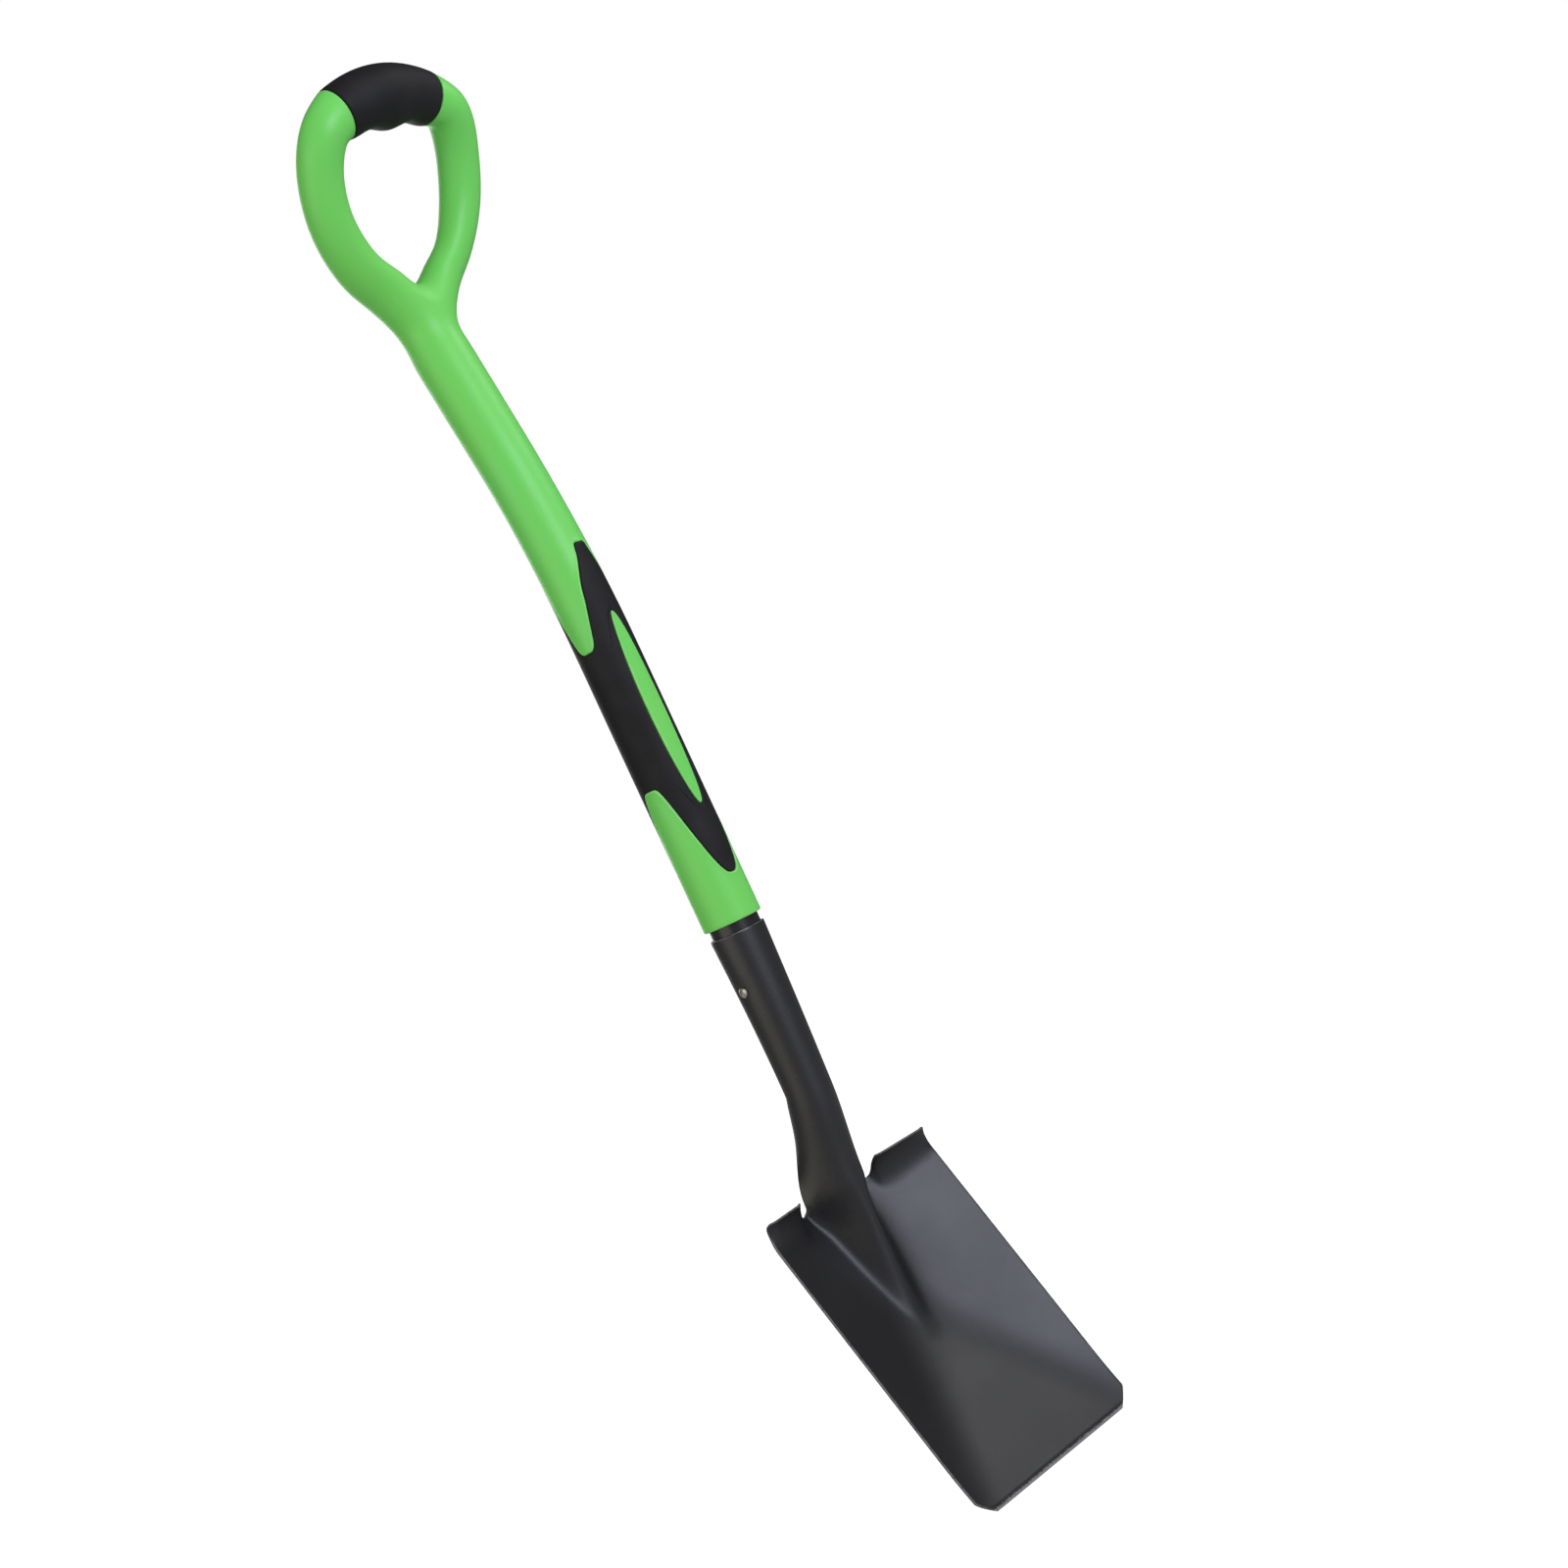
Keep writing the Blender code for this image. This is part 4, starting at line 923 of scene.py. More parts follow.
def from_slit(station, turn, axis, low, high):
    """Where a row that meets the leaf at a station comes to beside it, following the band's edges."""
    start, end = band_edges(axis, -GRIP_FLAT_FROM)
    share = (station - start) / (end - start)
    followed = low + (high - low) * share
    above = smooth_step(LEAF_MIDDLE + LEAF_HALF_LENGTH, end, station)
    below = smooth_step(start, LEAF_MIDDLE - LEAF_HALF_LENGTH, station)
    held = (1.0 - smooth_step(0.0, LEAF_SPREAD_ANGLE, turn)) * below * (1.0 - above)
    return followed + (station - followed) * held


def grip_grid(axis, sign):
    """A quarter of the grip beside an axis, as rows of (station, turn, distance from its edge)."""
    quarter = math.pi / 2.0 * SLEEVE_RADIUS
    arcs = list(EDGE_STEPS) + spread(EDGE_STEPS[-1], quarter, GRIP_COLUMN_STEP)[1:]
    turns = [math.degrees(arc / SLEEVE_RADIUS) for arc in arcs]
    edges = {}
    for step in list(EDGE_STEPS) + [GRIP_FLAT_FROM]:
        edges[step] = [band_edges(axis + sign * turn, -step) for turn in turns]
    rows = []
    for step, edge in edges.items():
        rows.append([(low, turn, step) for (low, _), turn in zip(edge, turns)])
    low_tip = LEAF_MIDDLE - LEAF_HALF_LENGTH
    high_tip = LEAF_MIDDLE + LEAF_HALF_LENGTH
    start, end = edges[GRIP_FLAT_FROM][0]
    middle = spread(start, low_tip, GRIP_ROW_STEP)[1:-1]
    for index in range(LEAF_ROWS + 1):
        middle.append(LEAF_MIDDLE - LEAF_HALF_LENGTH * math.cos(math.pi * index / LEAF_ROWS))
    middle += spread(high_tip, end, GRIP_ROW_STEP)[1:-1]
    for station in middle:
        opening = leaf_half_turn(station)
        row = []
        for turn in turns:
            moved = turn
            if turn < LEAF_SPREAD_ANGLE:
                moved = opening + turn * (1.0 - opening / LEAF_SPREAD_ANGLE)
            low, high = band_edges(axis + sign * moved, -GRIP_FLAT_FROM)
            here = from_slit(station, turn, axis, low, high)
            row.append((here, moved, min(GRIP_FLAT_FROM, from_leaf(here, moved))))
        rows.append(row)
    for step, edge in reversed(edges.items()):
        rows.append([(high, turn, step) for (_, high), turn in zip(edge, turns)])
    return rows


def grip_pair(bm, station, turn, distance):
    """One place of the grip: a vertex on its outside and one under it."""
    top = sleeve_radius(station) + BAND_PROUD - rounded_drop(distance, GRIP_EDGE_ROUNDING)
    under = sleeve_radius(station) - BAND_RECESS + CLEARANCE / 2.0
    outer = add_marked(bm, shaft_point(station, turn, top), rim=lip_rim(distance))
    return outer, bm.verts.new(shaft_point(station, turn, under))


def make_shaft_soft_grip(material):
    bm = bmesh.new()
    bm.verts.layers.float.new("rim")
    for axis in (LEAF_TURN, 180.0 + LEAF_TURN):
        for sign in (1.0, -1.0):
            rows = grip_grid(axis, sign)
            pairs = [[grip_pair(bm, at, axis + sign * turn, edge) for at, turn, edge in row] for row in rows]
            outer, inner = ([[pair[side] for pair in row] for row in pairs] for side in (0, 1))
            for index in range(len(rows) - 1):
                join_rows(bm, outer[index], outer[index + 1])
                join_rows(bm, inner[index], inner[index + 1])
                station = (rows[index][0][0] + rows[index + 1][0][0]) / 2.0
                if abs(station - LEAF_MIDDLE) < LEAF_HALF_LENGTH:
                    first, second = ((side[index][0], side[index + 1][0]) for side in (outer, inner))
                    join_rows(bm, first, second)
            for index in (0, -1):
                join_rows(bm, outer[index], inner[index])
    show_as(close_mesh("shaft_soft_grip", bm), material, "shaft_grip")


# Soft crossbar grip: a sleeve swept along the crossbar, with a crown and finger grooves

def grip_tree(inputs):
    tree, given, result = new_group("crossbar_grip_rule", "GeometryNodeTree", inputs, {"Grip": GEOMETRY})
    place = output_of(tree, "GeometryNodeInputPosition", "Position")
    items = (
        ("VECTOR", "Centre", place),
        ("VECTOR", "Along", output_of(tree, "GeometryNodeInputTangent", "Tangent")),
        ("FLOAT", "Across", stored_value(tree, "across")),
    )
    kept = add_node(tree, "GeometryNodeCaptureAttribute", {"Geometry": curve_of(tree, given["Path"])})
    for kind, label, _ in items:
        kept.capture_items.new(kind, label)
    for _, label, value in items:
        feed(tree, value, kept.inputs[label])
    skin = swept(tree, kept.outputs["Geometry"], given["Sides"], MM)
    centre, along, across = (kept.outputs[label] for _, label, _ in items)

    out = do_vector(tree, "NORMALIZE", do_vector(tree, "SUBTRACT", place, centre))
    leaning = do_vector(tree, "DOT_PRODUCT", given["Up"], along, output="Value")
    flat = do_vector(tree, "SCALE", along, Scale=leaning)
    up = do_vector(tree, "NORMALIZE", do_vector(tree, "SUBTRACT", given["Up"], flat))
    facing_up = do_vector(tree, "DOT_PRODUCT", out, up, output="Value")
    below = do_math(tree, "MAXIMUM", times(tree, facing_up, -1.0), 0.0)

    reach = times(tree, do_math(tree, "DIVIDE", across, given["Half Length"]), math.pi / 2.0)
    crown = times(tree, do_math(tree, "COSINE", reach), given["Crown"])
    turns = times(tree, do_math(tree, "DIVIDE", across, given["Groove Spacing"]), 2.0 * math.pi)
    groove = do_math(tree, "MULTIPLY_ADD", do_math(tree, "COSINE", turns), -0.5, 0.5)
    dug = times(tree, times(tree, groove, times(tree, below, below)), given["Groove Depth"])
    to_end = less(tree, given["Half Length"], do_math(tree, "ABSOLUTE", across))
    inside = less(tree, 1.0, do_math(tree, "DIVIDE", to_end, given["End Rounding"]))
    held = do_math(tree, "MINIMUM", do_math(tree, "MAXIMUM", inside, 0.0), 1.0)
    level = do_math(tree, "SQRT", less(tree, 1.0, times(tree, held, held)))
    fallen = times(tree, less(tree, 1.0, level), given["End Rounding"])

    raised = do_math(tree, "ADD", given["Radius"], crown)
    radius = less(tree, less(tree, raised, dug), fallen)
    moved = do_vector(tree, "ADD", centre, do_vector(tree, "SCALE", out, Scale=radius))
    placed = {"Geometry": skin, "Position": moved}
    placed = output_of(tree, "GeometryNodeSetPosition", "Geometry", placed)
    end_steps(tree, placed, given["Finish"], result["Grip"])
    return tree


def make_crossbar_soft_grip(material):
    half = JUNCTION_HALF_SPACING - CROSSBAR_GRIP_END_GAP
    near_end = [half - CROSSBAR_GRIP_ROUNDING * share for share in CROSSBAR_GRIP_END_STEPS]
    inner = spread(half - CROSSBAR_GRIP_ROUNDING, CROSSBAR_GRIP_ROUNDING - half, CROSSBAR_GRIP_STEP)
    acrosses = near_end + inner + [-across for across in reversed(near_end)]
    centres = [handle_point(across, crossbar_along(across)) for across in acrosses]
    path = path_object("crossbar_path", centres, "across", acrosses)
    inputs = (
        ("Path", GEOMETRY, None),
        ("Radius", FLOAT, CROSSBAR_GRIP_RADIUS * MM),
        ("Crown", FLOAT, CROSSBAR_GRIP_CROWN * MM),
        ("Groove Depth", FLOAT, FINGER_GROOVE_DEPTH * MM),
        ("Groove Spacing", FLOAT, FINGER_GROOVE_SPACING * MM),
        ("Half Length", FLOAT, half * MM),
        ("End Rounding", FLOAT, CROSSBAR_GRIP_ROUNDING * MM),
        ("Sides", WHOLE, CROSSBAR_GRIP_SIDES),
        ("Up", VECTOR, UP_THE_SHEET),
        ("Finish", MATERIAL, material),
    )
    run_tree(path, grip_tree(inputs), inputs)
    mesh = walled_mesh("crossbar_soft_grip", path, CROSSBAR_GRIP_WALL)
    show_as(mesh, material, "crossbar_grip")


# Blade

def socket_radius(drop):
    """The socket's outer radius at a distance below the sleeve's end."""
    rim_radius = TUBE_RADIUS + SOCKET_FIT + SHEET
    share = within_one((SOCKET_CLOSED_TO - drop) / (SOCKET_CLOSED_TO - SOCKET_RIM))
    return SOCKET_LOWER_RADIUS + (rim_radius - SOCKET_LOWER_RADIUS) * share ** SOCKET_TAPER_POWER


def socket_axis_back(drop):
    share = max(drop - SOCKET_SET_BACK_FROM, 0.0) / (SOCKET_CLOSED_TO - SOCKET_SET_BACK_FROM)
    return SOCKET_SET_BACK * share * share


def tube_radius(drop):
    """The tube's outer radius below the sleeve: it is swaged to follow the socket."""
    return min(TUBE_RADIUS, socket_radius(drop) - SHEET - SOCKET_FIT)


def blade_point(across, down, back):
    lift = math.radians(BLADE_LIFT)
    top = Vector((0.0, BLADE_TOP_BACK, -BLADE_TOP_DROP))
    down_way = Vector((0.0, -math.sin(lift), -math.cos(lift)))
    back_way = Vector((0.0, math.cos(lift), -math.sin(lift)))
    return top + Vector((across, 0.0, 0.0)) + down * down_way + back * back_way


def half_width(down):
    cut_start = BLADE_LENGTH - CORNER_CUT
    width = TOP_HALF_WIDTH + (BOTTOM_HALF_WIDTH - TOP_HALF_WIDTH) * within_one(down / cut_start)
    if down > cut_start:
        width -= CORNER_CUT * ((down - cut_start) / CORNER_CUT) ** CORNER_ROUNDING_POWER
    return width


def soft_abs(value):
    return math.sqrt(value * value + DISH_ROUNDING ** 2) - DISH_ROUNDING


def dish(across, down):
    """How far the sheet lies behind the plane of its side edges: two wings and a sloped foot."""
    wing = DISH_DEPTH * (1.0 - soft_abs(across) / soft_abs(TOP_HALF_WIDTH))
    foot = DISH_DEPTH * (BLADE_LENGTH - down) / (BLADE_LENGTH - RIDGE_TIP_AT)
    return smooth_min(wing, foot, CREASE_BLEND)


def ridge(across, down):
    """How far the ridge stands forward of the dish: a round crown that spreads into a long foot."""
    share = (down + NOTCH_TOP) / (RIDGE_TIP_AT + NOTCH_TOP)
    left = 1.0 - share
    crest = RIDGE_HEIGHT * left * abs(left) ** (RIDGE_FALL_POWER - 1.0)
    height = -smooth_min(0.0, -crest, RIDGE_TIP_BLEND)
    offset = min(abs(across) / smooth_curve(RIDGE_WIDTHS, share), 1.0)
    crown = (1.0 - offset ** RIDGE_SIDE_POWER) ** smooth_curve(RIDGE_FINENESS, share)
    middle = 1.0 - RIDGE_TIP_BLEND / RIDGE_FOOT_WIDTH
    foot = max(1.0 - math.hypot(across, RIDGE_TIP_BLEND) / RIDGE_FOOT_WIDTH, 0.0) / middle
    spreading = RIDGE_FOOT_SHARE * smooth_step(0.0, RIDGE_FOOT_FULL_AT, share)
    return height * (crown + (foot ** 3 - crown) * spreading)


def sheet_depth(across, down):
    return dish(across, down) - ridge(across, down)


def even_across(limit, down, count):
    """Distances across the sheet, from the middle to limit, evenly spaced over its surface."""
    reached = [0.0]
    for index in range(SURFACE_SAMPLES):
        near = limit * index / SURFACE_SAMPLES
        far = limit * (index + 1) / SURFACE_SAMPLES
        rise = sheet_depth(far, down) - sheet_depth(near, down)
        reached.append(reached[-1] + math.hypot(far - near, rise))
    places = []
    index = 0
    for step in range(count + 1):
        target = reached[-1] * step / count
        while index < SURFACE_SAMPLES - 1 and reached[index + 1] < target:
            index += 1
        share = (target - reached[index]) / (reached[index + 1] - reached[index])
        places.append(limit * (index + share) / SURFACE_SAMPLES)
    return places


def fold_line(across):
    """How far down the sheet a tread starts to curl; the fold rounds off upwards at both ends."""
    inner = rounded_drop(max(abs(across) - NOTCH_OUTER_X, 0.0), FOLD_INNER_ROUNDING)
    outer = rounded_drop(max(TOP_HALF_WIDTH - abs(across), 0.0), FOLD_OUTER_ROUNDING)
    return FOLD_BELOW_TOP - inner - outer


def wing_point(across, down):
    """A point of the sheet; above the fold, the treads curl forward and the ridge doesn't."""
    fold = fold_line(across)
    if down >= fold:
        return blade_point(across, down, sheet_depth(across, down))
    angle = (fold - down) / TREAD_CURL_RADIUS
    curled_down = fold - TREAD_CURL_RADIUS * math.sin(angle)
    forward = TREAD_CURL_RADIUS * (1.0 - math.cos(angle))
    curl_starts = NOTCH_INNER_X - CURL_STARTS_INSIDE_NOTCH
    curl_full = NOTCH_OUTER_X + CURL_FULL_OUTSIDE_NOTCH
    curled = smooth_step(curl_starts, curl_full, abs(across))
    height = curled_down * curled + down * (1.0 - curled)
    return blade_point(across, height, sheet_depth(across, height) - forward * curled)


def sheet_rows():
    """How far down the sheet its rows lie, from the notch's floor to the cutting edge."""
    corner = BLADE_LENGTH - CORNER_CUT
    return (
        evenly(-NOTCH_BOTTOM, FOLD_BELOW_TOP, NOTCH_ROWS)[:-1]
        + evenly(FOLD_BELOW_TOP, RIDGE_TIP_AT, RIDGE_ROWS)[:-1]
        + evenly(RIDGE_TIP_AT, corner, FOOT_ROWS)[:-1]
        + evenly(corner, BLADE_LENGTH - GROUND_WIDTH, CORNER_ROWS)[:-1]
        + evenly(BLADE_LENGTH - GROUND_WIDTH, BLADE_LENGTH, GROUND_ROWS)
    )


def strip_row(limit, down, sign):
    return [wing_point(sign * across, down) for across in even_across(limit, down, STRIP_COLUMNS)]


def socket_half(drop, sign):
    """Half of the socket's outline, from the front round to the seam; the rivet dents its sides."""
    radius = socket_radius(drop)
    seam = math.asin(SEAM_GAP / 2.0 / radius)
    outline = []
    for column in range(STRIP_COLUMNS + 1):
        angle = (math.pi - seam) * column / STRIP_COLUMNS
        across = radius * math.sin(angle)
        back = -radius * math.cos(angle)
        away = math.hypot(back, drop - RIVET_DROP) / RIVET_DIMPLE_RADIUS
        across -= RIVET_DIMPLE_DEPTH * math.exp(-(away / RIVET_DIMPLE_SPREAD) ** 2)
        outline.append(Vector((sign * across, back + socket_axis_back(drop), -drop)))
    return outline


def flare_rows(sign):
    """Rows that open the socket into the top of the ridge, smooth at both ends."""
    start = socket_half(SOCKET_CLOSED_TO, sign)
    above = socket_half(SOCKET_CLOSED_TO - FLARE_LEAD, sign)
    end = strip_row(NOTCH_INNER_X, -NOTCH_TOP, sign)
    below = strip_row(NOTCH_INNER_X, -NOTCH_TOP + FLARE_LEAD, sign)
    rows = []
    for index in range(1, FLARE_ROWS + 1):
        share = index / FLARE_ROWS
        swell = FLARE_EDGE_SPREAD * SWELL_TO_ONE * share * (1.0 - share) ** 4
        way = Vector((sign * FLARE_EDGE_WAY.x, FLARE_EDGE_WAY.y, 0.0))
        row = []
        for column, (first, before, last, after) in enumerate(zip(start, above, end, below)):
            reach = (last - first).length
            leaving = (first - before).normalized() * reach
            arriving = (after - last).normalized() * reach
            swelled = way * (swell * (column / STRIP_COLUMNS) ** 3)
            row.append(run_between(first, last, leaving, arriving, share) + swelled)
        rows.append(row)
    return rows


def tread_rows(sign):
    """Rows of one tread above the notch's floor, from its lip down; the lip falls outwards."""
    shared_x = (NOTCH_INNER_X + NOTCH_OUTER_X) / 2.0
    height = TREAD_HEIGHT - NOTCH_BOTTOM
    rows = []
    for step in range(TREAD_ROWS, 0, -1):
        share = step / TREAD_ROWS
        held = max(1.0 - height * share / NOTCH_ROUNDING, 0.0)
        opened = math.sqrt(1.0 - held ** 2)
        inner = shared_x + (NOTCH_OUTER_X - shared_x) * opened + TREAD_INNER_CUT * share ** 2
        outer = TOP_HALF_WIDTH - TREAD_CORNER_CUT * share ** TREAD_CORNER_POWER
        row = []
        for column in range(WING_COLUMNS + 1):
            across = inner + (outer - inner) * column / WING_COLUMNS
            upward = NOTCH_BOTTOM + (height - TREAD_FALL * column / WING_COLUMNS) * share
            row.append(wing_point(sign * across, -upward))
        rows.append(row)
    return rows


def blade_front():
    """The sheet's front and the socket's outside as one open surface."""
    bm = bmesh.new()
    ground = bm.verts.layers.float.new("ground")
    shared_x = (NOTCH_INNER_X + NOTCH_OUTER_X) / 2.0
    centre_line = []
    for sign in (1, -1):
        rows = [socket_half(drop, sign) for drop in evenly(SOCKET_RIM, SOCKET_CLOSED_TO, SOCKET_ROWS)]
        rows += flare_rows(sign)
        ground_rows = [0.0] * len(rows)
        for down in sheet_rows():
            row = strip_row(shared_x, down, sign)
            edge = half_width(down)
            for column in range(1, WING_COLUMNS + 1):
                across = shared_x + (edge - shared_x) * column / WING_COLUMNS
                row.append(wing_point(sign * across, down))
            rows.append(row)
            ground_rows.append(max(down - BLADE_LENGTH + GROUND_WIDTH, 0.0) / GROUND_WIDTH)
        verts = []
        for index, row in enumerate(rows):
            if sign == 1:
                made = add_row(bm, row)
                centre_line.append(made[0])
            else:
                made = [centre_line[index]] + add_row(bm, row[1:])
            for vert in made:
                vert[ground] = ground_rows[index]
            verts.append(made)
        for upper, lower in zip(verts, verts[1:]):
            width = min(len(upper), len(lower))
            join_rows(bm, upper[:width], lower[:width])
        tread = [add_row(bm, row) for row in tread_rows(sign)]
        notch_floor = verts[SOCKET_ROWS + 1 + FLARE_ROWS]
        join_all(bm, tread + [notch_floor[STRIP_COLUMNS:]], join_rows)
    bmesh.ops.recalc_face_normals(bm, faces=bm.faces)
    front_face = min(bm.faces, key=lambda face: face.calc_center_median().y)
    if front_face.normal.y > 0.0:
        bmesh.ops.reverse_faces(bm, faces=bm.faces)
    bm.normal_update()
    return bm, ground


def rim_way(vert):
    """The direction out of the sheet, in its own plane, at a point of its outline."""
    ends = [edge.other_vert(vert) for edge in vert.link_edges if edge.is_boundary]
    along = (ends[0].co - ends[1].co).normalized()
    way = along.cross(vert.normal).normalized()
    inside = Vector()
    for face in vert.link_faces:
        inside += face.calc_center_median() - vert.co
    return -way if way.dot(inside) > 0.0 else way


def make_pressed_blade(material):
    """The front surface gets its back and a rounded rim all round; the cutting edge is ground."""
    bm, ground = blade_front()
    rim = bm.verts.layers.float.new("rim")
    front_faces = list(bm.faces)
    outline = [edge for edge in bm.edges if edge.is_boundary]
    rims = {}
    for edge in outline:
        for vert in edge.verts:
            if vert not in rims:
                rims[vert] = (vert.co.copy(), vert.normal.copy(), rim_way(vert), vert[ground])
    starts = {vert: (vert.co.copy(), vert.normal.copy()) for vert in bm.verts}
    backs = {}
    for vert, (co, normal) in starts.items():
        behind = bm.verts.new(co - normal * SHEET)
        behind[ground] = vert[ground] * GROUND_ON_BACK
        backs[vert] = behind
        vert.co = co - normal * (GROUND_DEPTH * vert[ground])
    ladders = {}
    for vert, (co, normal, way, share) in rims.items():
        top = GROUND_DEPTH * share
        left = SHEET - top
        inset = RIM_ROUNDING * min(left / SHEET * RIM_ROUNDING_HELD, 1.0)
        ladder = []
        for inwards, depth in RIM_PROFILE:
            spot = co - way * inset * inwards - normal * (top + left * depth)
            if inwards == 1.0:
                step = vert if depth == 0.0 else backs[vert]
                step.co = spot
            else:
                step = bm.verts.new(spot)
                step[ground] = share
            step[rim] = 1.0
            ladder.append(step)
        ladders[vert] = ladder
    for face in front_faces:
        bm.faces.new([backs[vert] for vert in reversed(face.verts)])
    for edge in outline:
        first, second = (ladders[vert] for vert in edge.verts)
        join_rows(bm, first, second)
    show_as(close_mesh("pressed_blade", bm), material, "blade")


# Tube and rivet

def make_steel_tube(material):
    drops = spread(TUBE_REACH_IN_SOCKET, SOCKET_RIM, TUBE_STEP)
    points = [Vector((0.0, socket_axis_back(drop), -drop)) for drop in drops]
    radii = [tube_radius(drop) for drop in drops]
    for station in spread(0.0, TUBE_TOP, TUBE_STEP):
        points.append(spine(station)[0])
        radii.append(TUBE_RADIUS)
    path = path_object("tube_path", points, "radius_here", radii)
    inputs = (("Path", GEOMETRY, None), ("Sides", WHOLE, TUBE_SIDES), ("Finish", MATERIAL, material))
    tree, given, result = new_group("tube_along_path", "GeometryNodeTree", inputs, {"Tube": GEOMETRY})
    radius = stored_value(tree, "radius_here")
    skin = swept(tree, curve_of(tree, given["Path"]), given["Sides"], 1.0, radius)
    end_steps(tree, skin, given["Finish"], result["Tube"])
    run_tree(path, tree, inputs)
    show_as(walled_mesh("steel_tube", path, TUBE_WALL), material, "shaft_tube")


def rivet_head():
    """One domed head, its flat underside on the XY plane and its crown up."""
    bm = bmesh.new()
    profile = [(0.0, RIVET_HEAD_RADIUS - RIVET_HEAD_FOOT_DRAFT), (RIVET_HEAD_FOOT, RIVET_HEAD_RADIUS)]
    for degrees in RIVET_HEAD_DEGREES:
        angle = math.radians(degrees)
        rise = RIVET_HEAD_FOOT + (RIVET_HEAD_HEIGHT - RIVET_HEAD_FOOT) * math.sin(angle)
        profile.append((rise, RIVET_HEAD_RADIUS * math.cos(angle)))
    rings = []
    for rise, radius in profile:
        ring = []
        for angle in round_angles(RIVET_SIDES):
            ring.append(Vector((radius * math.cos(angle), radius * math.sin(angle), rise)) * MM)
        rings.append(add_row(bm, ring))
    join_all(bm, rings, join_rings)
    bm.faces.new(rings[0])
    crown = bm.verts.new(Vector((0.0, 0.0, RIVET_HEAD_HEIGHT * MM)))
    for first, second in zip(rings[-1], rings[-1][1:] + rings[-1][:1]):
        bm.faces.new((first, second, crown))
    return new_object("rivet_head", to_mesh("rivet_head", bm))


def rivet_tree(inputs):
    """The head is set at both ends of a shank that crosses the socket from side to side."""
    tree, given, result = new_group("rivet_through_socket", "GeometryNodeTree", inputs, {"Rivet": GEOMETRY})
    sides = []
    for reach in (given["Reach"], times(tree, given["Reach"], -1.0)):
        sides.append(output_of(tree, "ShaderNodeCombineXYZ", "Vector", {"X": reach}))
    line = {"Count": 2, "Start Location": sides[1], "Offset": sides[0]}
    ends = output_of(tree, "GeometryNodeMeshLine", "Mesh", line, mode="END_POINTS")
    place = output_of(tree, "GeometryNodeInputPosition", "Position")
    kind = "FunctionNodeAlignRotationToVector"
    facing = output_of(tree, kind, "Rotation", {"Vector": place}, axis="Z")
    heads = {"Points": ends, "Instance": given["Head"], "Rotation": facing}
    heads = output_of(tree, "GeometryNodeInstanceOnPoints", "Instances", heads)
    length = times(tree, given["Reach"], 2.0)
    shank = {"Vertices": given["Sides"], "Radius": given["Shank Radius"], "Depth": length}
    shank = output_of(tree, "GeometryNodeMeshCylinder", "Mesh", shank)
    laid = {"Geometry": shank, "Rotation": (0.0, math.pi / 2.0, 0.0)}
    both = add_node(tree, "GeometryNodeJoinGeometry")
    for part in (output_of(tree, "GeometryNodeTransform", "Geometry", laid), heads):
        feed(tree, part, both.inputs["Geometry"])
    moved = {"Geometry": both.outputs["Geometry"], "Translation": given["Middle"]}
    moved = output_of(tree, "GeometryNodeTransform", "Geometry", moved)
    end_steps(tree, moved, given["Finish"], result["Rivet"])
    return tree


def make_rivet(material):
    reach = socket_radius(RIVET_DROP) - RIVET_DIMPLE_DEPTH + RIVET_HEAD_GAP
    inputs = (
        ("Head", GEOMETRY, None),
        ("Reach", FLOAT, reach * MM),
        ("Shank Radius", FLOAT, RIVET_SHANK_RADIUS * MM),
        ("Sides", WHOLE, RIVET_SIDES),
        ("Middle", VECTOR, in_place(Vector((0.0, 0.0, -RIVET_DROP)))),
        ("Finish", MATERIAL, material),
    )
    head = rivet_head()
    run_tree(head, rivet_tree(inputs), inputs)
    show_as(plain_mesh("rivet", head), material, "socket_rivet")


# Finishes

COARSER = 0.22
SCRATCH_RANGE = (0.66, 0.74)
PATCH_RANGE = (0.45, 0.75)
SCRATCH_TURN = (0.3, 0.5, 0.2)
SCRATCH_STRETCH = (1.0, 1.0, 0.09)
SCRATCH_FINENESS = 9.0
RIM_SOFTNESS = 0.35


def noise(tree, place, size, detail):
    inputs = {"Vector": place, "Scale": size, "Detail": detail}
    return output_of(tree, "ShaderNodeTexNoise", "Fac", inputs)


def part_of_way(tree, value, low, high):
    inputs = {"Value": value, "From Min": low, "From Max": high}
    return output_of(tree, "ShaderNodeMapRange", "Result", inputs)


def mix(tree, share, first, second):
    return output_of(tree, "ShaderNodeMix", "Result", {"Factor": share, "A": first, "B": second})


def mix_colours(tree, share, first, second):
    """Inputs 6 and 7 and output 2 are the node's colours."""
    return output_of(tree, "ShaderNodeMix", 2, {"Factor": share, 6: first, 7: second}, data_type="RGBA")


def grain_group():
    """A fine surface grain: its height for a bump and a slow drift for colour and roughness."""
    inputs = (
        ("Vector", VECTOR, None),
        ("Grain Size", FLOAT, 900.0),
        ("Coarse Share", FLOAT, 0.35),
        ("Drift Size", FLOAT, 14.0),
    )
    outputs = {"Height": FLOAT, "Drift": FLOAT}
    tree, given, result = new_group("surface_grain", "ShaderNodeTree", inputs, outputs)
    place = given["Vector"]
    fine = noise(tree, place, given["Grain Size"], detail=3.0)
    coarse = noise(tree, place, times(tree, given["Grain Size"], COARSER), detail=2.0)
    feed(tree, mix(tree, given["Coarse Share"], fine, coarse), result["Height"])
    feed(tree, noise(tree, place, given["Drift Size"], detail=4.0), result["Drift"])
    return tree


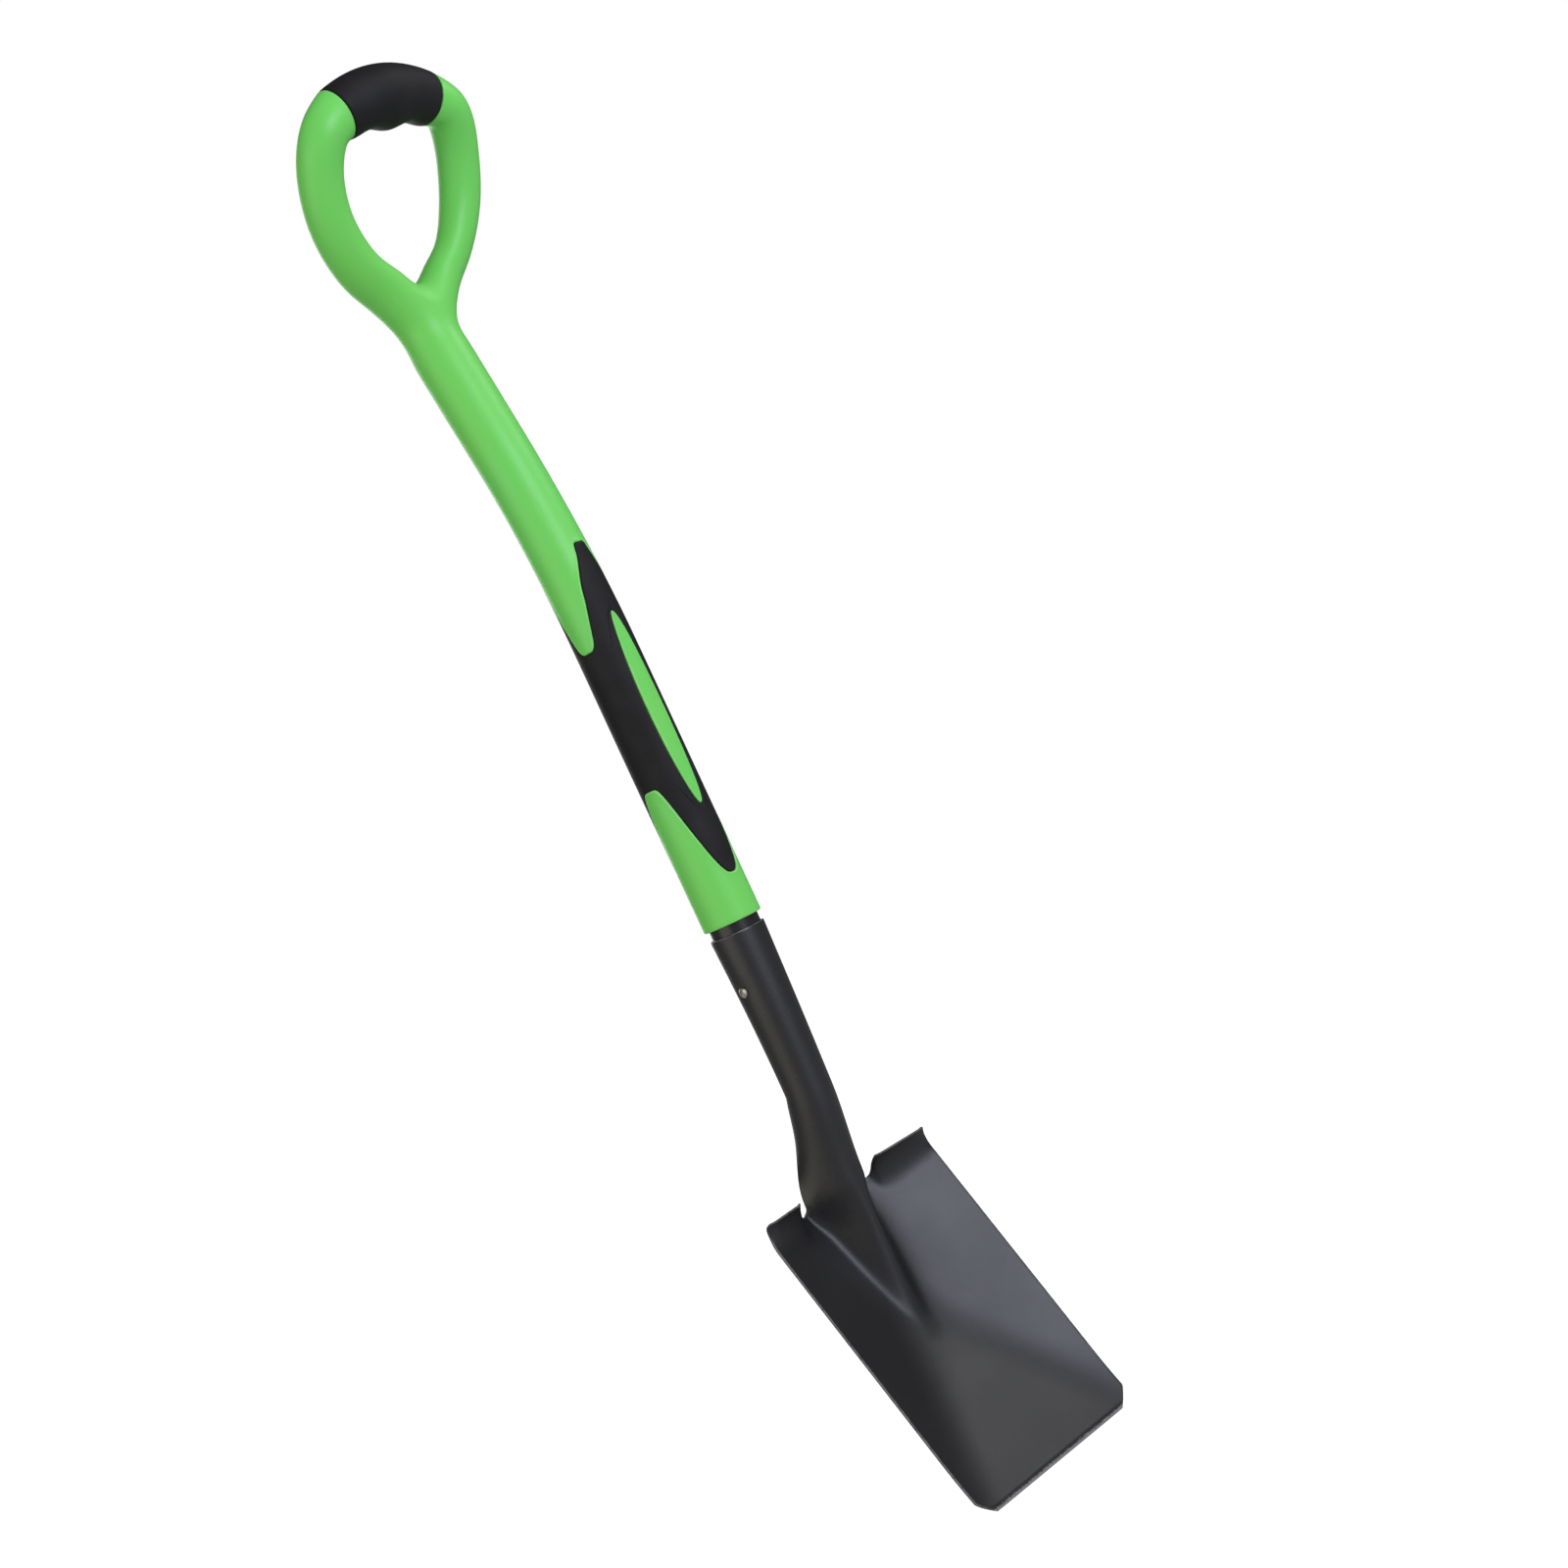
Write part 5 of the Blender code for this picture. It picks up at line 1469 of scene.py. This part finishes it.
def marks_group():
    """Handling marks: thin scratches that come and go, and scuffed patches."""
    inputs = (
        ("Vector", VECTOR, None),
        ("Scratch Size", FLOAT, 60.0),
        ("Patch Size", FLOAT, 22.0),
        ("Amount", FLOAT, 0.5),
    )
    outputs = {"Scratches": FLOAT, "Patches": FLOAT}
    tree, given, result = new_group("handling_marks", "ShaderNodeTree", inputs, outputs)
    stretched = {"Vector": given["Vector"], "Rotation": SCRATCH_TURN, "Scale": SCRATCH_STRETCH}
    stretched = output_of(tree, "ShaderNodeMapping", "Vector", stretched)
    fineness = times(tree, given["Scratch Size"], SCRATCH_FINENESS)
    streaks = noise(tree, stretched, fineness, detail=2.0)
    thin = part_of_way(tree, streaks, *SCRATCH_RANGE)
    patches = noise(tree, given["Vector"], given["Patch Size"], detail=5.0)
    held = part_of_way(tree, patches, *PATCH_RANGE)
    feed(tree, times(tree, times(tree, thin, held), given["Amount"]), result["Scratches"])
    feed(tree, times(tree, held, given["Amount"]), result["Patches"])
    return tree


def rim_group():
    """A mask along a rim, full at the edge itself and broken up by noise beside it: wear on the soft black
    rubber and the powder coat, a painted highlight on the green moulding.
    """
    inputs = (
        ("Vector", VECTOR, None),
        ("Rim", FLOAT, 0.0),
        ("Break Size", FLOAT, 400.0),
        ("Amount", FLOAT, 0.5),
    )
    tree, given, result = new_group("rim_wear_and_highlight", "ShaderNodeTree", inputs, {"Mask": FLOAT})
    broken = less(tree, noise(tree, given["Vector"], given["Break Size"], detail=4.0), 0.5)
    pushed = do_math(tree, "ADD", given["Rim"], broken)
    start = less(tree, 1.0, given["Amount"])
    feed(tree, part_of_way(tree, pushed, start, do_math(tree, "ADD", start, RIM_SOFTNESS)), result["Mask"])
    return tree


GREEN = (0.142, 0.630, 0.122, 1.0)
GREEN_YELLOWER = (0.170, 0.620, 0.095, 1.0)
# A painted highlight along the green's lips, shoulders and lower end
GREEN_PAINTED_LIP_HIGHLIGHT = (0.330, 0.760, 0.250, 1.0)
# Painted shade on the recess floor in the groove beside the soft grip
GREEN_PAINTED_GROOVE_SHADE = (0.020, 0.110, 0.016, 1.0)
SOFT_BLACK = (0.0115, 0.0115, 0.0125, 1.0)
SOFT_BLACK_DUSTY = (0.021, 0.021, 0.022, 1.0)
COAT = (0.0080, 0.0082, 0.0096, 1.0)
COAT_DUSTY = (0.016, 0.016, 0.0185, 1.0)
COAT_RUBBED = (0.20, 0.195, 0.185, 1.0)
BARE_STEEL = (0.42, 0.41, 0.39, 1.0)
TUBE_BLACK = (0.010, 0.010, 0.011, 1.0)
RIVET_STEEL = (0.56, 0.54, 0.50, 1.0)
RIVET_TARNISH = (0.30, 0.285, 0.25, 1.0)
PLUG_GREY = (0.045, 0.045, 0.047, 1.0)

# Each finish: the sizes of its grain, marks and rim masks, which are wear, and on the green moulding a
# painted highlight; its colour and the colours laid over it by masks; where its roughness and metal start
# and what each mask adds; and its bump's depth.
FINISHES = {
    "green_moulding": {
        "grain": {"Grain Size": 420.0, "Drift Size": 11.0},
        "marks": {"Scratch Size": 26.0, "Amount": 0.55},
        # On the green, the rim mask lightens lips and shoulders as a painted highlight.
        "rims": {"Wear_And_Highlight": ("rim", {"Break Size": 160.0, "Amount": 0.42})},
        # On the green, the hollow mask darkens the recess floor as painted shade.
        "own": ("hollow",),
        "colour": GREEN,
        "over": (
            ("Drift", 1.0, GREEN_YELLOWER),
            ("Wear_And_Highlight", 0.55, GREEN_PAINTED_LIP_HIGHLIGHT),
            ("hollow", 1.0, GREEN_PAINTED_GROOVE_SHADE),
        ),
        "varying": {"Roughness": (0.33, (("Drift", 0.12), ("Patches", 0.10), ("Scratches", 0.18)))},
        "bump": (0.00006, (("Scratches", -0.8),)),
        "plain": {"Specular IOR Level": 0.34},
    },
    "soft_black_rubber": {
        "grain": {"Grain Size": 1500.0, "Coarse Share": 0.3, "Drift Size": 26.0},
        "marks": {"Scratch Size": 34.0, "Patch Size": 34.0, "Amount": 0.6},
        "rims": {"Wear_And_Highlight": ("rim", {"Break Size": 220.0, "Amount": 0.4})},
        "colour": SOFT_BLACK,
        "over": (("Patches", 1.0, SOFT_BLACK_DUSTY), ("Wear_And_Highlight", 0.4, SOFT_BLACK_DUSTY)),
        "varying": {"Roughness": (0.54, (("Drift", 0.16), ("Wear_And_Highlight", -0.06)))},
        "bump": (0.00009, ()),
        "plain": {"Specular IOR Level": 0.20},
    },
    "powder_coat": {
        "grain": {"Grain Size": 1100.0, "Coarse Share": 0.4, "Drift Size": 17.0},
        "marks": {"Scratch Size": 40.0, "Patch Size": 18.0, "Amount": 0.5},
        "rims": {
            "Wear_And_Highlight": ("rim", {"Break Size": 260.0, "Amount": 0.30}),
            "Cut": ("ground", {"Break Size": 900.0, "Amount": 0.62}),
        },
        "products": {"Speckle": ("Patches", "Height")},
        "colour": COAT,
        "over": (("Speckle", 0.7, COAT_DUSTY), ("Wear_And_Highlight", 0.55, COAT_RUBBED), ("Cut", 0.7, BARE_STEEL)),
        "varying": {
            "Roughness": (0.38, (("Drift", 0.12), ("Scratches", -0.12))),
            "Metallic": (0.0, (("Cut", 0.55),)),
        },
        "bump": (0.00012, (("Scratches", -0.5),)),
        "plain": {"Specular IOR Level": 0.64},
    },
    "tube_black_paint": {
        "grain": {"Grain Size": 700.0, "Drift Size": 20.0},
        "marks": {"Scratch Size": 44.0, "Amount": 0.7},
        "colour": TUBE_BLACK,
        "over": (("Patches", 1.0, SOFT_BLACK_DUSTY),),
        "varying": {"Roughness": (0.24, (("Drift", 0.14),))},
        "bump": (0.00005, ()),
    },
    "rivet_plain_steel": {
        "grain": {"Grain Size": 2200.0, "Drift Size": 330.0},
        "marks": {"Scratch Size": 220.0, "Patch Size": 420.0, "Amount": 0.8},
        "colour": RIVET_STEEL,
        "over": (("Patches", 1.0, RIVET_TARNISH),),
        "varying": {"Roughness": (0.28, (("Drift", 0.2),))},
        "bump": (0.00005, ()),
        "plain": {"Metallic": 1.0},
    },
    "plug_plastic": {
        "grain": {"Grain Size": 800.0, "Drift Size": 40.0},
        "marks": {"Amount": 0.4},
        "colour": PLUG_GREY,
        "over": (("Patches", 1.0, SOFT_BLACK_DUSTY),),
        "varying": {"Roughness": (0.5, (("Drift", 0.15),))},
        "bump": (0.00008, ()),
    },
}


def new_material(name):
    material = bpy.data.materials.new(name)
    material.use_nodes = True
    tree = material.node_tree
    return material, tree, tree.nodes["Principled BSDF"]


def own_value(tree, name):
    return output_of(tree, "ShaderNodeAttribute", "Fac", attribute_name=name)


def place_group(tree, group, place, values):
    return add_node(tree, "ShaderNodeGroup", {"Vector": place, **values}, node_tree=group).outputs


def add_masks(tree, value, masks, shares):
    """A value with a share of each mask added."""
    for mask, share in shares:
        value = do_math(tree, "MULTIPLY_ADD", masks[mask], share, value)
    return value


def make_finish(name, groups):
    recipe = FINISHES[name]
    material, tree, shader = new_material(name)
    place = output_of(tree, "ShaderNodeTexCoord", "Object")
    grain, marks, wear_and_highlight_group = groups
    masks = dict(place_group(tree, grain, place, recipe["grain"]).items())
    masks.update(place_group(tree, marks, place, recipe["marks"]).items())
    for mask, (attribute, values) in recipe.get("rims", {}).items():
        values = {"Rim": own_value(tree, attribute), **values}
        masks[mask] = place_group(tree, wear_and_highlight_group, place, values)["Mask"]
    for mask in recipe.get("own", ()):
        masks[mask] = own_value(tree, mask)
    for mask, (first, second) in recipe.get("products", {}).items():
        masks[mask] = times(tree, masks[first], masks[second])

    colour = recipe["colour"]
    for mask, share, over in recipe["over"]:
        covered = masks[mask] if share == 1.0 else times(tree, masks[mask], share)
        colour = mix_colours(tree, covered, colour, over)
    feed(tree, colour, shader.inputs["Base Color"])
    for label, (start, shares) in recipe["varying"].items():
        feed(tree, add_masks(tree, start, masks, shares), shader.inputs[label])
    depth, shares = recipe["bump"]
    raised = {"Height": add_masks(tree, masks["Height"], masks, shares), "Distance": depth, "Strength": 1.0}
    feed(tree, output_of(tree, "ShaderNodeBump", "Normal", raised), shader.inputs["Normal"])
    for label, value in recipe.get("plain", {}).items():
        shader.inputs[label].default_value = value
    return material


# Camera, light and floor

CAMERA_PLACE = Vector((-1.05318, -1.21089, -0.44275))
CAMERA_RIGHT = Vector((0.66127, -0.62122, -0.42048))
CAMERA_DOWN = Vector((-0.31455, 0.27925, -0.90724))
CAMERA_FORWARD = Vector((0.68101, 0.73219, -0.01074))
CAMERA_LENS = 60.75
CAMERA_NEAR = 0.05
CAMERA_FAR = 60.0
SENSOR = 36.0
FLOOR_GAP = 0.0006
FLOOR_SIZE = 9.0
FLOOR_GREY = (0.34, 0.34, 0.34, 1.0)
FLOOR_ROUGHNESS = 0.9
FLOOR_WHITE = 0.90
WHITE = (1.0, 1.0, 1.0, 1.0)
AMBIENT = 0.45
MIRRORED_BACKGROUND = 0.07
SOFTBOX_DISTANCE = 2.4
COOL = (0.94, 0.97, 1.14)
WARM = (1.06, 1.0, 0.86)
NEUTRAL = (1.0, 1.0, 1.0)
# Name, direction from the spade, half angle in degrees, brightness and tint
SOFTBOXES = (
    ("front_softbox", (-0.070, -0.950, 0.305), 17.0, 6.1, COOL),
    ("top_right_softbox", (0.650, -0.480, 0.590), 14.0, 4.0, NEUTRAL),
    ("left_fill", (-0.985, 0.02, 0.05), 26.0, 1.7, WARM),
    ("back_softbox", (0.32, 0.91, 0.26), 22.0, 2.2, NEUTRAL),
)


def make_camera():
    data = bpy.data.cameras.new("photo_camera")
    data.lens = CAMERA_LENS
    data.sensor_width = SENSOR
    data.clip_start = CAMERA_NEAR
    data.clip_end = CAMERA_FAR
    camera = new_object("photo_camera", data)
    axes = Matrix((CAMERA_RIGHT, -CAMERA_DOWN, -CAMERA_FORWARD)).transposed()
    camera.rotation_mode = "QUATERNION"
    camera.rotation_quaternion = axes.to_quaternion()
    camera.location = CAMERA_PLACE
    bpy.context.scene.camera = camera


def add_softbox(name, direction, half_angle, brightness, tint):
    """A round softbox that faces the spade; brightness 1 is as bright as a white wall."""
    way = Vector(direction).normalized()
    radius = SOFTBOX_DISTANCE * math.tan(math.radians(half_angle))
    data = bpy.data.lights.new(name, "AREA")
    data.shape = "DISK"
    data.size = 2.0 * radius
    data.energy = brightness * math.pi * math.pi * radius ** 2
    data.color = tint
    lamp = new_object(name, data)
    lamp.location = (cad_low + cad_high) / 2.0 + way * SOFTBOX_DISTANCE
    lamp.rotation_mode = "QUATERNION"
    lamp.rotation_quaternion = (-way).to_track_quat("-Z", "Y")
    lamp.visible_camera = False


def light_rays(tree):
    """Whether a ray comes from the camera, straight or through glass, and whether it is mirrored."""
    ray = add_node(tree, "ShaderNodeLightPath").outputs
    seen = do_math(tree, "MAXIMUM", ray["Is Camera Ray"], ray["Is Transmission Ray"])
    return seen, ray["Is Glossy Ray"]


def make_world():
    """Soft light all round; what the camera sees behind the spade is white."""
    world = bpy.data.worlds.new("studio")
    bpy.context.scene.world = world
    world.use_nodes = True
    tree = world.node_tree
    background = tree.nodes["Background"]
    seen, mirrored = light_rays(tree)
    unseen = mix(tree, mirrored, AMBIENT, MIRRORED_BACKGROUND)
    background.inputs["Color"].default_value = WHITE
    feed(tree, mix(tree, seen, unseen, 1.0), background.inputs["Strength"])


def make_floor():
    """A pale floor under the blade's edge that shows white and keeps a faint shadow."""
    bm = bmesh.new()
    level = cad_low.z - FLOOR_GAP
    half = FLOOR_SIZE / 2.0
    corners = ((-half, -half), (half, -half), (half, half), (-half, half))
    bm.faces.new(add_row(bm, [(x, y, level) for x, y in corners]))
    floor = new_object("studio_floor", to_mesh("studio_floor", bm))
    material, tree, shader = new_material("white_floor")
    shader.inputs["Base Color"].default_value = FLOOR_GREY
    shader.inputs["Roughness"].default_value = FLOOR_ROUGHNESS
    shader.inputs["Emission Color"].default_value = WHITE
    seen, mirrored = light_rays(tree)
    lit = do_math(tree, "MAXIMUM", seen, times(tree, mirrored, MIRRORED_BACKGROUND))
    feed(tree, times(tree, lit, FLOOR_WHITE), shader.inputs["Emission Strength"])
    floor.data.materials.append(material)


def cover_plug(node, material):
    """A hidden plug keeps the model's shape and takes its own finish."""
    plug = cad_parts[node]
    plug.material_slots[0].link = "OBJECT"
    plug.material_slots[0].material = material


def main():
    bpy.context.scene.view_settings.view_transform = "Standard"
    make_camera()
    make_world()
    for softbox in SOFTBOXES:
        add_softbox(*softbox)
    make_floor()

    groups = (grain_group(), marks_group(), rim_group())
    finish = {name: make_finish(name, groups) for name in FINISHES}
    make_green_handle(finish["green_moulding"])
    make_shaft_soft_grip(finish["soft_black_rubber"])
    make_crossbar_soft_grip(finish["soft_black_rubber"])
    make_pressed_blade(finish["powder_coat"])
    make_steel_tube(finish["tube_black_paint"])
    make_rivet(finish["rivet_plain_steel"])
    cover_plug("lower_tube_plug", finish["plug_plastic"])
    cover_plug("upper_tube_plug", finish["plug_plastic"])


main()
